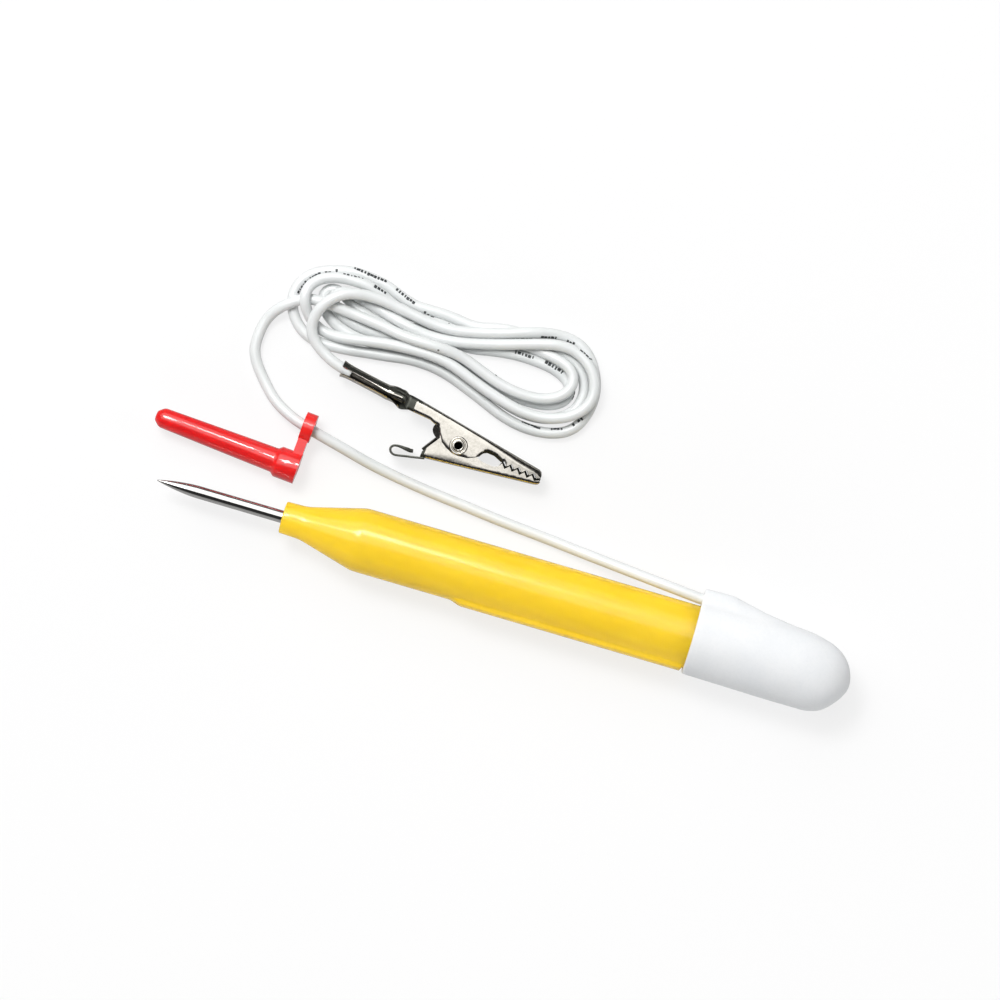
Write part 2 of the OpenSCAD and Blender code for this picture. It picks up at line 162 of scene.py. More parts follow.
def catmull(pts, step, dims=3):
    """evenly spaced points along a smooth curve through pts; extra columns are carried along"""
    p = np.asarray(pts, float)
    q = np.vstack([2 * p[0] - p[1], p, 2 * p[-1] - p[-2]])
    out = []
    for i in range(1, len(q) - 2):
        a, b, c, d = q[i - 1:i + 3]
        t0 = 0.0
        t1 = t0 + max(np.linalg.norm((b - a)[:dims]), 1e-9) ** 0.5
        t2 = t1 + max(np.linalg.norm((c - b)[:dims]), 1e-9) ** 0.5
        t3 = t2 + max(np.linalg.norm((d - c)[:dims]), 1e-9) ** 0.5
        for t in np.linspace(t1, t2, 14, endpoint=False):
            e = (t1 - t) / (t1 - t0) * a + (t - t0) / (t1 - t0) * b
            f = (t2 - t) / (t2 - t1) * b + (t - t1) / (t2 - t1) * c
            g = (t3 - t) / (t3 - t2) * c + (t - t2) / (t3 - t2) * d
            h = (t2 - t) / (t2 - t0) * e + (t - t0) / (t2 - t0) * f
            k = (t3 - t) / (t3 - t1) * f + (t - t1) / (t3 - t1) * g
            out.append((t2 - t) / (t2 - t1) * h + (t - t1) / (t2 - t1) * k)
    out.append(q[-2])
    out = np.array(out)
    s = np.concatenate([[0], np.cumsum(np.linalg.norm(np.diff(out[:, :dims], axis=0), axis=1))])
    n = max(2, int(round(s[-1] / step)))
    t = np.linspace(0, s[-1], n + 1)
    return np.stack([np.interp(t, s, out[:, c]) for c in range(out.shape[1])], axis=1)


def settle():
    """Lays the lead down: it sinks, its strands keep a diameter apart, and it bends no more than it must."""
    d0 = LEAD_D
    rows = [(x, y, z, 1.0) for x, y, z in RUN]
    for x, y, level, seen in HANK:
        a, b = on_floor(x, y)
        rows.append((a, b, d0 / 2 + level * d0, seen))
    rows += [(x, y, z, 1.0) for x, y, z in TAIL]
    route = catmull(rows, 1.25)
    n = len(route)
    seen = route[:, 3].clip(0.02, 1)
    p = route[:, :3].copy()
    home = p.copy()
    held = np.zeros(n, bool)
    held[:int(np.argmin(np.linalg.norm(p[:, :2] - np.array(RUN[-4][:2]), axis=1)))] = True
    held[n - 5:] = True
    free = np.where(held, 0.0, 1.0)
    share = free / (0.2 + seen)
    index = np.arange(n)
    rounds = 900
    span, tightest = 3, 4.4
    most = (span * 1.25) ** 2 / (2 * tightest)
    for k in range(rounds):
        if k % 15 == 0:
            gap = p[:, None, :2] - p[None, :, :2]
            near = (gap[..., 0] ** 2 + gap[..., 1] ** 2) < (1.8 * d0) ** 2
            near &= (index[None, :] - index[:, None]) > 5
            one, two = np.nonzero(near)
        late = k > 0.7 * rounds
        p[:, 2] -= (0.008 if late else 0.03) * free
        hold = (0.3 * seen ** 2 if late else 0.02 + 0.25 * seen)[:, None]
        p[:, :2] += hold * (home[:, :2] - p[:, :2]) * free[:, None]
        lap = np.zeros_like(p)
        lap[1:-1] = p[:-2] + p[2:] - 2 * p[1:-1]
        lap2 = np.zeros_like(p)
        lap2[2:-2] = -(lap[1:-3] + lap[3:-1] - 2 * lap[2:-2])
        p[:, 2] += (0.08 * lap2[:, 2] + 0.04 * lap[:, 2]) * free
        p[:, :2] += 0.06 * lap2[:, :2] * free[:, None]
        for again in range(3 if late else 2):
            d = p[two] - p[one]
            far = np.linalg.norm(d, axis=1)
            m = far < d0
            if m.any():
                i, j = one[m], two[m]
                both = np.maximum(share[i] + share[j], 1e-9)
                push = ((d0 - far[m]) / np.maximum(far[m], 1e-6))[:, None] * d[m]
                move, hits = np.zeros_like(p), np.zeros(n)
                np.add.at(move, i, -push * (share[i] / both)[:, None])
                np.add.at(move, j, push * (share[j] / both)[:, None])
                np.add.at(hits, i, 1)
                np.add.at(hits, j, 1)
                p += 1.3 * move / np.maximum(hits, 1)[:, None]
        # no bend much tighter than the lead takes: a point that stands too far off its chord gives way
        chord = (p[:-2 * span] + p[2 * span:]) / 2 - p[span:-span]
        rise = np.linalg.norm(chord, axis=1)
        over = np.where(rise > most, (rise - most) / np.maximum(rise, 1e-9), 0)[:, None] * chord
        give = (0.35 * free / (0.5 + seen))[:, None]
        p[span:-span] += 0.5 * give[span:-span] * over
        p[:-2 * span] -= 0.25 * give[:-2 * span] * over
        p[2 * span:] -= 0.25 * give[2 * span:] * over
        p[:, 2] = np.where(held, p[:, 2], np.maximum(p[:, 2], d0 / 2))
    for again in range(4):
        q = p.copy()
        q[1:-1] += 0.25 * (p[:-2] + p[2:] - 2 * p[1:-1])
        p = np.where(held[:, None], p, q)
    p = catmull(p, 0.8)
    p[:, 2] = np.maximum(p[:, 2], d0 / 2 + 0.01)
    return p


def link(ob):
    bpy.context.scene.collection.objects.link(ob)
    return ob


def tidy(ob, angle=35.0, weld=1e-7):
    """welds, points the normals outward, and shades smooth except at real edges"""
    bm = bmesh.new()
    bm.from_mesh(ob.data)
    if weld:
        bmesh.ops.remove_doubles(bm, verts=bm.verts, dist=weld)
    bmesh.ops.dissolve_degenerate(bm, dist=1e-8, edges=bm.edges)
    bmesh.ops.recalc_face_normals(bm, faces=bm.faces)
    bm.to_mesh(ob.data)
    bm.free()
    ob.data.polygons.foreach_set("use_smooth", [True] * len(ob.data.polygons))
    ob.data.set_sharp_from_angle(angle=math.radians(angle))
    ob.data.update()
    return ob


def make(name, verts, faces, angle=35.0):
    me = bpy.data.meshes.new(name)
    me.from_pydata([tuple(v) for v in np.asarray(verts, float) * MM], [], [tuple(int(i) for i in f) for f in faces])
    return tidy(link(bpy.data.objects.new(name, me)), angle)


def strips(rows, cols, ring_rows=False, ring_cols=False, start=0):
    """quads of a rows by cols grid, closed in either direction"""
    out = []
    for i in range(rows if ring_rows else rows - 1):
        for j in range(cols if ring_cols else cols - 1):
            a, b = i * cols + j, i * cols + (j + 1) % cols
            c, d = ((i + 1) % rows) * cols + (j + 1) % cols, ((i + 1) % rows) * cols + j
            out.append((a + start, b + start, c + start, d + start))
    return out


def lathe(name, profile, place, n=96, ring=False, angle=35.0):
    """turns a profile of (x, radius) about the local x axis; ring closes the profile on itself"""
    prof = np.asarray(profile, float)
    t = np.linspace(0, TAU, n, endpoint=False)
    g = np.stack([np.repeat(prof[:, :1], n, 1), prof[:, 1:] * np.cos(t), prof[:, 1:] * np.sin(t)], -1)
    return make(name, place(g.reshape(-1, 3)), strips(len(prof), n, ring, True), angle)


def rounded(points, radii, steps=5, closed=False):
    """a polyline with its corners turned into arcs"""
    p = [np.asarray(q, float) for q in points]
    if not hasattr(radii, "__len__"):
        radii = [radii] * len(p)
    out = []
    for i, (q, r) in enumerate(zip(p, radii)):
        if (not closed and i in (0, len(p) - 1)) or r <= 0:
            out.append(q)
            continue
        a, b = p[i - 1] - q, p[(i + 1) % len(p)] - q
        la, lb = np.linalg.norm(a), np.linalg.norm(b)
        a, b = a / la, b / lb
        half = math.acos(max(-1, min(1, float(a @ b)))) / 2
        if half < 1e-3 or half > math.pi / 2 - 1e-3:
            out.append(q)
            continue
        cut = min(r / math.tan(half), 0.45 * la, 0.45 * lb)
        s, e = q + a * cut, q + b * cut
        for k in range(steps + 1):
            t = k / steps
            out.append((1 - t) ** 2 * s + 2 * t * (1 - t) * q + t * t * e)
    return np.array(out)


def along(path):
    """unit tangents, and for each an upright and a sideways unit vector"""
    t = np.gradient(path, axis=0)
    t /= np.linalg.norm(t, axis=1)[:, None]
    up = np.array([0, 0, 1.0]) - t[:, 2:3] * t
    up /= np.maximum(np.linalg.norm(up, axis=1), 1e-9)[:, None]
    return t, up, np.cross(t, up)


def tube(path, radius, sides):
    """vertices and quads of a round tube with closed, slightly rounded ends (the path never stands upright, so up and side vectors serve)"""
    t, up, side = along(path)
    a = np.linspace(0, TAU, sides, endpoint=False)
    r = np.broadcast_to(np.asarray(radius, float), (len(path),))
    rings = path[:, None] + r[:, None, None] * (np.cos(a)[None, :, None] * up[:, None] + np.sin(a)[None, :, None] * side[:, None])
    ends = []
    for end, sign in ((0, -1), (-1, 1)):
        c, tt, u, s, rr = path[end], t[end], up[end], side[end], r[end]
        ring = [c + sign * tt * (rr * 0.12) + rr * 0.88 * (math.cos(x) * u + math.sin(x) * s) for x in a]
        ends.append((np.array(ring), c + sign * tt * (rr * 0.12)))
    n = len(path)
    verts = np.vstack([rings.reshape(-1, 3), ends[0][0], ends[1][0], ends[0][1][None], ends[1][1][None]])
    faces = strips(n, sides, False, True)
    b0, b1, c0, c1 = n * sides, (n + 1) * sides, (n + 2) * sides, (n + 2) * sides + 1
    for j in range(sides):
        k = (j + 1) % sides
        faces += [(j, b0 + j, b0 + k, k), ((n - 1) * sides + j, (n - 1) * sides + k, b1 + k, b1 + j)]
        faces += [(b0 + j, c0, b0 + k), (b1 + j, b1 + k, c1)]
    return verts, faces


lead_path = settle()
verts, faces = tube(lead_path, LEAD_D / 2, 20)
lead = make("lead_cord", verts, faces, 50)


# ---------------------------------------------------------------- the dashes on the lead
def mark_spots():
    """(x, y) pairs in the picture between which a row of dashes runs, with the dashes' rough length and height in mm"""
    return [
        ((353, 266.8), (386, 281), .9, .5), ((397, 289), (413, 302.5), .8, .5), ((423, 311), (432, 316.5), .9, .35), ((447, 323), (451, 324.5), .5, .3),
        ((297, 292), (306, 280.3), .8, .4), ((308, 278.4), (317, 273.4), .8, .4), ((319, 272.6), (331, 271.4), .7, .4), ((334.5, 270.4), (338.5, 269.2), .7, .4), ((343, 273.5), (361, 277.4), .7, .35), ((373, 284.5), (385, 292.5), .7, .55),
        ((512, 338.2), (529, 338), 1.0, .4), ((541, 337), (558, 337.8), .9, .45), ((568, 341), (575, 344), .8, .45), ((581, 350), (591, 359), .8, .4),
        ((516, 351.8), (533.5, 357.2), .8, .55), ((545, 361), (563, 372), .8, .6),
        ((522, 421.5), (540, 428), 1.1, .45), ((551, 428.8), (564, 428.8), .9, .5), ((574, 424.5), (582, 419), .9, .5),
        ((495.5, 374.6), (497.5, 376), .5, .45), ((577.5, 388), (574.5, 398), .9, .45), ((437.5, 350), (438.5, 350.4), .4, .35),
    ]


def top_of_lead(x, y):
    """(index along the lead, angle from its top) of what is seen from above at a place on the floor"""
    d = lead_path[:, :2] - np.array([x, y])
    dist = np.hypot(d[:, 0], d[:, 1])
    r = LEAD_D / 2
    _, _, side = lead_axes
    for reach in (0.93, 1.3):
        best, where = -1.0, None
        for i in np.nonzero(dist < r * 1.35)[0]:
            if i in (0, len(lead_path) - 1):
                continue
            back = (np.array([x, y]) - lead_path[i, :2]) @ lead_axes[0][i, :2]
            off = (np.array([x, y]) - lead_path[i, :2]) @ side[i, :2]
            if abs(back) > 0.5 or abs(off) > reach * r:
                continue
            off = max(-0.96 * r, min(0.96 * r, off))
            high = lead_path[i, 2] + math.sqrt(max(r * r - off * off, 0)) - 0.4 * abs(back)
            if high > best:
                best, where = high, (int(i), math.asin(off / r))
        if where:
            break
    return where


lead_axes = along(lead_path)


def lead_marks():
    rng = np.random.RandomState(7)
    verts, faces = [], []
    t, up, side = lead_axes
    r = LEAD_D / 2 + 0.03

    def at(i, ang):
        k = int(math.floor(i))
        f = i - k
        k = min(max(k, 0), len(lead_path) - 2)
        c = lead_path[k] * (1 - f) + lead_path[k + 1] * f
        u = up[k] * (1 - f) + up[k + 1] * f
        s = side[k] * (1 - f) + side[k + 1] * f
        return c + r * (math.cos(ang) * u + math.sin(ang) * s)

    for a, b, length, height in mark_spots():
        a, b = np.array(on_floor(*a)), np.array(on_floor(*b))
        whole = float(np.linalg.norm(b - a))
        s = 0.0
        while s < whole:
            own = length * (0.35 + 0.6 * rng.rand())
            found = top_of_lead(*(a + (b - a) * min(1, (s + own / 2) / whole)))
            tall = height * (1.15 + 0.5 * rng.rand()) / LEAD_D * 2
            shift = (rng.rand() - 0.5) * 0.12
            s += own + 0.10 + 0.15 * rng.rand()
            if found is None:
                continue
            m = 5
            base = len(verts)
            for k in range(m + 1):
                i = found[0] + (k / m - 0.5) * own / 0.8
                for q in np.linspace(-0.5, 0.5, 7):
                    verts.append(at(i, found[1] + shift + q * tall))
            for k in range(m):
                for q in range(6):
                    c = base + 7 * k + q
                    faces.append((c, c + 1, c + 8, c + 7))
    me = bpy.data.meshes.new("lead_marks")
    me.from_pydata([tuple(v) for v in np.array(verts) * MM], [], faces)
    me.polygons.foreach_set("use_smooth", [True] * len(me.polygons))
    ob = link(bpy.data.objects.new("lead_marks", me))
    bm = bmesh.new()
    bm.from_mesh(me)
    for f in bm.faces:
        f.normal_update()
    bmesh.ops.recalc_face_normals(bm, faces=bm.faces)
    flip = [f for f in bm.faces if f.normal.z < -0.2]
    bmesh.ops.reverse_faces(bm, faces=flip)
    bm.to_mesh(me)
    bm.free()
    return ob


marks = lead_marks()

# ---------------------------------------------------------------- materials


def linear(rgb):
    return tuple(c / 12.92 if c <= 0.04045 else ((c + 0.055) / 1.055) ** 2.4 for c in (v / 255 for v in rgb)) + (1.0,)


class Look:
    """a small builder of node materials"""

    def __init__(self, name, **sockets):
        self.mat = bpy.data.materials.new(name)
        self.mat.use_nodes = True
        self.nodes, self.links = self.mat.node_tree.nodes, self.mat.node_tree.links
        self.shader = self.nodes["Principled BSDF"]
        for key, value in sockets.items():
            self.shader.inputs[key.replace("_", " ")].default_value = value
        self.coords = self.nodes.new("ShaderNodeTexCoord").outputs["Object"]

    def noise(self, scale, detail=3.0, rough=0.5, stretch=(1, 1, 1), spin=0.0, distort=0.0):
        m = self.nodes.new("ShaderNodeMapping")
        m.inputs["Scale"].default_value = stretch
        m.inputs["Rotation"].default_value = (0, 0, spin)
        self.links.new(self.coords, m.inputs["Vector"])
        n = self.nodes.new("ShaderNodeTexNoise")
        n.inputs["Scale"].default_value = scale
        n.inputs["Detail"].default_value = detail
        n.inputs["Roughness"].default_value = rough
        n.inputs["Distortion"].default_value = distort
        self.links.new(m.outputs["Vector"], n.inputs["Vector"])
        return n.outputs["Fac"]

    def ramp(self, fac, stops):
        r = self.nodes.new("ShaderNodeValToRGB")
        e = r.color_ramp.elements
        while len(e) < len(stops):
            e.new(0.5)
        for k, (pos, col) in enumerate(stops):
            e[k].position = pos
            e[k].color = col if len(col) == 4 else tuple(col) + (1.0,)
        self.links.new(fac, r.inputs["Fac"])
        return r.outputs["Color"]

    def span(self, fac, low, high, a=0.3, b=0.7):
        m = self.nodes.new("ShaderNodeMapRange")
        m.inputs["From Min"].default_value = a
        m.inputs["From Max"].default_value = b
        m.inputs["To Min"].default_value = low
        m.inputs["To Max"].default_value = high
        self.links.new(fac, m.inputs["Value"])
        return m.outputs["Result"]

    def mix(self, fac, a, b, blend="MIX"):
        m = self.nodes.new("ShaderNodeMix")
        m.data_type = "RGBA"
        m.blend_type = blend
        for socket, value in ((m.inputs["Factor"], fac), (m.inputs[6], a), (m.inputs[7], b)):
            if hasattr(value, "is_linked"):
                self.links.new(value, socket)
            else:
                socket.default_value = value
        return m.outputs[2]

    def bump(self, *layers):
        """layers of (height, strength, distance in metres)"""
        last = None
        for height, strength, distance in layers:
            b = self.nodes.new("ShaderNodeBump")
            b.inputs["Strength"].default_value = strength
            b.inputs["Distance"].default_value = distance
            self.links.new(height, b.inputs["Height"])
            if last is not None:
                self.links.new(last, b.inputs["Normal"])
            last = b.outputs["Normal"]
        self.links.new(last, self.shader.inputs["Normal"])
        return self

    def set(self, socket, output):
        self.links.new(output, self.shader.inputs[socket])
        return self


def wear(name, where):
    """gives objects one material in all their slots"""
    for ob in where:
        ob.data.materials.clear()
        ob.data.materials.append(name)


def yellow_plastic():
    k = Look("yellow_plastic", IOR=1.49, Subsurface_Weight=0.9, Subsurface_Scale=0.011, Specular_IOR_Level=0.42)
    k.shader.subsurface_method = "BURLEY"
    k.shader.inputs["Subsurface Radius"].default_value = (1.0, 0.85, 0.35)
    cloud = k.noise(55, 3, 0.55, (1, 2.2, 2.2))
    flow = k.noise(420, 4, 0.6, (0.12, 1, 1))
    tone = k.ramp(cloud, [(0.25, linear((230, 190, 40))), (0.75, linear((233, 196, 52)))])
    k.set("Base Color", k.mix(k.span(flow, 0.0, 0.10), tone, linear((222, 178, 22))))
    k.set("Roughness", k.span(k.noise(900, 3, 0.6), 0.15, 0.22))
    return k.bump((k.noise(260, 2, 0.5, (0.4, 1, 1)), 0.12, 0.00012), (k.noise(3200, 3, 0.6), 0.10, 0.00004)).mat


def red_plastic():
    k = Look("red_plastic", IOR=1.5, Specular_IOR_Level=0.15, Subsurface_Weight=0.6, Subsurface_Scale=0.004, Coat_Weight=1.0, Coat_Roughness=0.03)
    k.shader.subsurface_method = "BURLEY"
    k.shader.inputs["Subsurface Radius"].default_value = (1.0, 0.35, 0.3)
    tone = k.ramp(k.noise(120, 3), [(0.3, linear((210, 26, 29))), (0.75, linear((218, 40, 36)))])
    k.set("Base Color", tone)
    k.set("Roughness", k.span(k.noise(1100, 3, 0.6), 0.30, 0.42))
    return k.bump((k.noise(500, 2, 0.5, (0.35, 1, 1)), 0.10, 0.00006), (k.noise(3600, 3, 0.6), 0.06, 0.00002)).mat


def cap_plastic():
    k = Look("cap_plastic", IOR=1.46, Subsurface_Weight=0.2, Subsurface_Scale=0.003)
    k.shader.inputs["Subsurface Radius"].default_value = (1.0, 0.95, 0.9)
    cloud = k.noise(90, 4, 0.6)
    fine = k.noise(1500, 3, 0.65)
    tone = k.ramp(cloud, [(0.3, linear((215, 217, 219))), (0.7, linear((222, 223, 224)))])
    k.set("Base Color", k.mix(k.span(fine, 0.0, 0.25, 0.45, 0.8), tone, linear((204, 208, 211))))
    k.set("Roughness", k.span(fine, 0.46, 0.62))
    return k.bump((fine, 0.16, 0.00008), (k.noise(240, 3, 0.5), 0.12, 0.00025)).mat


def lead_pvc():
    k = Look("lead_pvc", IOR=1.5, Subsurface_Weight=0.08, Subsurface_Scale=0.0008, Coat_Weight=0.15, Coat_Roughness=0.2)
    k.shader.inputs["Subsurface Radius"].default_value = (1.0, 0.97, 0.93)
    tone = k.ramp(k.noise(70, 3), [(0.3, linear((210, 213, 212))), (0.7, linear((216, 218, 218)))])
    k.set("Base Color", tone)
    k.set("Roughness", k.span(k.noise(1400, 3, 0.6), 0.30, 0.42))
    return k.bump((k.noise(650, 2, 0.5), 0.12, 0.00006), (k.noise(4200, 2, 0.6), 0.08, 0.00002)).mat


def lead_ink():
    k = Look("lead_ink", Roughness=0.5)
    k.set("Base Color", k.ramp(k.noise(2600, 3, 0.7), [(0.35, linear((22, 24, 26))), (0.7, linear((70, 74, 76)))]))
    k.set("Roughness", k.span(k.noise(1800, 2), 0.4, 0.6))
    return k.mat


def nickel(name="nickel_steel", base=(182, 178, 170), low=0.10, high=0.22, brush=(1, 1, 1)):
    k = Look(name, Metallic=1.0)
    cloud = k.noise(260, 4, 0.6)
    k.set("Base Color", k.mix(k.span(k.noise(1500, 3, 0.7), 0.0, 0.35, 0.5, 0.85), k.ramp(cloud, [(0.3, linear(base)), (0.7, linear(tuple(min(255, v + 14) for v in base)))]), linear((155, 152, 143))))
    k.set("Roughness", k.span(k.noise(1900, 4, 0.65, brush), low, high))
    return k.bump((k.noise(420, 2, 0.5), 0.20, 0.00012), (k.noise(3800, 3, 0.65, brush), 0.10, 0.00002)).mat


def simple(name, rgb, rough, metal=0.0, rgb2=None, bump=0.1, scale=900, **more):
    k = Look(name, Metallic=metal, **more)
    k.set("Base Color", k.ramp(k.noise(scale * 0.25, 3), [(0.3, linear(rgb)), (0.7, linear(rgb2 or tuple(min(255, v + 10) for v in rgb)))]))
    k.set("Roughness", k.span(k.noise(scale, 3, 0.6), rough * 0.85, rough * 1.2))
    return k.bump((k.noise(scale * 2, 3, 0.6), bump, 0.00004)).mat


M = {
    "yellow_plastic": yellow_plastic(),
    "red_plastic": red_plastic(),
    "cap_plastic": cap_plastic(),
    "lead_pvc": lead_pvc(),
    "lead_ink": lead_ink(),
    "nickel_steel": nickel(),
    # a dark nickel that serves only as painted shade: inner faces, hollows, the rivet's hole and bevelled edges
    "nickel_painted_shade": simple("nickel_painted_shade", (52, 54, 50), 0.5, 1.0, (74, 75, 70), 0.2),
    "probe_steel": nickel("probe_steel", (193, 192, 190), 0.06, 0.13, (0.2, 1, 1)),
    "spring_steel": simple("spring_steel", (110, 110, 112), 0.28, 1.0, (136, 136, 136)),
    "brass": simple("brass", (206, 168, 88), 0.25, 1.0, (222, 188, 110)),
    "copper": simple("copper", (196, 122, 84), 0.32, 1.0, (214, 146, 106)),
    "tinned": simple("tinned", (92, 90, 85), 0.35, 1.0, (122, 119, 112)),
    "holder_plastic": simple("holder_plastic", (222, 221, 210), 0.5, 0.0, (232, 231, 222), 0.2),
    "cell_jacket": simple("cell_jacket", (34, 84, 104), 0.3, 0.0, (40, 96, 118), 0.05),
}


def lamp_glass():
    k = Look("lamp_glass", IOR=1.5, Transmission_Weight=0.92)
    k.set("Base Color", k.ramp(k.noise(300, 2), [(0.3, linear((238, 242, 244))), (0.7, linear((250, 252, 252)))]))
    k.set("Roughness", k.span(k.noise(900, 2), 0.02, 0.08))
    return k.mat


M["lamp_glass"] = lamp_glass()


def dress(ob, look, body="handle", nodes=()):
    ob.data.materials.clear()
    ob.data.materials.append(M[look])
    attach(ob, body)
    if nodes:
        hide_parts(*nodes)
    return ob


dress(lead, "lead_pvc", "handle", ("lead_run", "lead_hank", "lead_tail"))
dress(marks, "lead_ink")

# ---------------------------------------------------------------- barrel
outer = [(0.0, 1.9), (0.0, 3.42), (0.04, 3.53), (0.13, 3.61), (0.26, 3.66), (1.6, 3.7), (3.4, 3.76)]
for x, r in catmull([(3.4, 3.76), (4.2, 3.8), (4.9, 3.88), (5.5, 4.0), (6.2, 4.17), (7.2, 4.43), (8.7, 4.83), (10, 5.18), (11.4, 5.55), (13, 5.98), (14.5, 6.38), (15.8, 6.73), (16.9, 7.02), (17.5, 7.16), (18.0, 7.24), (18.6, 7.27), (19.4, 7.28)], 0.4, 2)[1:]:
    outer.append((x, r))
outer += [(x, 7.28) for x in (22, 26, 30, 34, 37, 39, 40.2, 40.8, 41.3, 41.9, 42.6, 43.3, 43.9, 44.3, 44.8, 46, 50, 56, 62, 68, 74, 80, 86, 91, 94, 95.1, 95.35, 95.5, 95.6, 96.5, 99, 101.2)]
outer += [(101.42, 7.2), (101.5, 7.0)]
inner = [(101.5, 6.15), (101.4, 6.02), (101.2, 6.0), (95.5, 6.0), (95.5, 5.45), (60, 5.45), (15.9, 5.45), (15.9, 3.2), (10.9, 3.2), (10.9, 1.67), (5, 1.67), (0.25, 1.67), (0.06, 1.73)]
edge = math.asin(3.2 / 7.4)
soft = 0.035
fine = [math.pi + s * (edge + d) for s in (-1, 1) for d in (-2.2 * soft, -1.4 * soft, -0.8 * soft, -0.3 * soft, 0.3 * soft, 0.8 * soft, 1.4 * soft, 2.2 * soft)]
angles = sorted(list(np.linspace(0, TAU, 132, endpoint=False)) + fine)
angles = np.array([a for k, a in enumerate(angles) if k == 0 or a - angles[k - 1] > 0.004])


def ease(x):
    x = np.clip(x, 0, 1)
    return x * x * (3 - 2 * x)


rings = []
for x, r in outer:
    off = np.abs(np.angle(np.exp(1j * (angles - math.pi))))
    high = 0.8 * ease((x - 40.9) / 3.2) * ease((95.55 - x) / 0.4) * ease((edge + soft - off) / (2 * soft))
    rr = r + (high if 40 < x < 95.6 else 0) * np.ones_like(angles)
    rings.append(np.stack([np.full_like(angles, x), rr * np.cos(angles), rr * np.sin(angles)], -1))
for x, r in inner:
    rings.append(np.stack([np.full_like(angles, x), r * np.cos(angles), r * np.sin(angles)], -1))
rings = np.array(rings)
barrel = make("barrel_shell", from_handle(rings.reshape(-1, 3)), strips(len(rings), len(angles), True, True), 40)
dress(barrel, "yellow_plastic", "handle", ("barrel",))

# ---------------------------------------------------------------- probe
ogive = catmull([(-29.6, 0.02), (-29.52, 0.11), (-29.0, 0.24), (-27.8, 0.5), (-26, 0.85), (-24, 1.13), (-22.2, 1.32), (-20.5, 1.43), (-19.6, 1.45)], 0.22, 2)
profile = [(-29.6, 0.0)] + [tuple(q) for q in ogive] + [(x, 1.45) for x in np.linspace(-18, 0.1, 14)]
profile += [(0.12, 1.65), (11, 1.65), (11, 2.62), (11.08, 2.7), (12.32, 2.7), (12.4, 2.62), (12.4, 0)]
probe = lathe("probe_rod", profile, from_handle, 64, angle=40)
dress(probe, "probe_steel", "handle", ("probe",))

# ---------------------------------------------------------------- cap
t = np.linspace(0, TAU, 160, endpoint=False)


def joined(main_r, main_y, side_r, side_y, k):
    """radius about the axis, at each angle, of two circles with a soft fillet between them"""
    lo, hi = np.zeros_like(t), np.full_like(t, 16.0)
    for _ in range(40):
        mid = (lo + hi) / 2
        y, z = mid * np.cos(t), mid * np.sin(t)
        d = np.hypot(y - main_y, z) - main_r
        if side_r > 0:
            e = np.hypot(y - side_y, z) - side_r
            h = np.clip(0.5 + 0.5 * (e - d) / k, 0, 1)
            d = e * (1 - h) + d * h - k * h * (1 - h)
        inside = d < 0
        lo, hi = np.where(inside, mid, lo), np.where(inside, hi, mid)
    return (lo + hi) / 2


cap_curve = catmull([(95.8, 8.495), (102, 8.59), (108, 8.69), (114, 8.78), (119, 8.78), (122, 8.66), (124.7, 8.35), (127, 7.72), (128.9, 6.78),
                     (130.5, 5.45), (131.7, 3.85), (132.45, 2.1), (132.75, 0.9), (132.8, 0.02)], 0.75, 2)


def cap_centre(x):
    return float(np.interp(x, [112, 119, 122, 124.7, 133], [0, 0, -0.1, -0.4, -0.5]))


def cap_ring(x, r, grow=0.0):
    tilt = max(0.0, x - 102.3) * math.tan(math.radians(11))
    side_y = 8.83 - tilt
    side_r = float(np.interp(x, [95.8, 102.4, 114.3, 119], [2.55, 2.68, 2.45, 2.0]))
    if x > 121:
        side_r = 0
    rad = joined(r, cap_centre(x), side_r, side_y, 1.7) if x < 128 else np.array(joined(r, cap_centre(x), 0, 0, 1))
    # the dome is a little flatter on the side away from the lead
    flat = float(np.interp(x, [128.0, 129.3, 130.8, 132.2, 132.75], [0, 0.28, 0.6, 0.5, 0]))
    rad = rad + grow - flat * np.clip(-np.cos(t), 0, 1) ** 1.5
    return np.stack([np.full_like(t, x), rad * np.cos(t), rad * np.sin(t)], -1)


rings = []
for k in range(5):
    f = k / 4 * math.pi / 2
    rings.append(cap_ring(95.8, 8.495, -0.45 * (1 - math.sin(f))) + np.array([0.45 * (1 - math.cos(f)), 0, 0]))
for x, r in cap_curve:
    if x > 96.5:
        rings.append(cap_ring(x, max(r, 0.02)))
inside = []
for x, r, ch in [(95.8, 7.62, 1.8), (95.87, 7.45, 1.64), (96.05, 7.36, 1.55), (100, 7.36, 1.55), (104.4, 7.36, 1.55), (104.6, 7.36, 1.3), (104.65, 7.36, 0), (110, 7.36, 0), (116, 7.36, 0),
                 (121, 7.36, 0), (123.6, 7.3, 0), (125, 6.95, 0), (126.2, 6.5, 0), (127.3, 5.95, 0), (128.2, 5.4, 0), (129.1, 4.7, 0), (129.8, 4.0, 0), (130.4, 3.0, 0), (130.75, 1.8, 0), (130.9, 0.5, 0), (130.9, 0.02, 0)]:
    rad = joined(r, 0, ch, 8.83, 0.25)
    inside.append(np.stack([np.full_like(t, x), rad * np.cos(t), rad * np.sin(t)], -1))
rings = np.array(inside[::-1] + rings)
cap = make("cap_shell", from_handle(rings.reshape(-1, 3)), strips(len(rings), len(t), False, True), 45)
bm = bmesh.new()
bm.from_mesh(cap.data)
bmesh.ops.holes_fill(bm, edges=[e for e in bm.edges if e.is_boundary], sides=400)
bmesh.ops.recalc_face_normals(bm, faces=bm.faces)
bm.to_mesh(cap.data)
bm.free()
dress(cap, "cap_plastic", "cap", ("end_cap",))


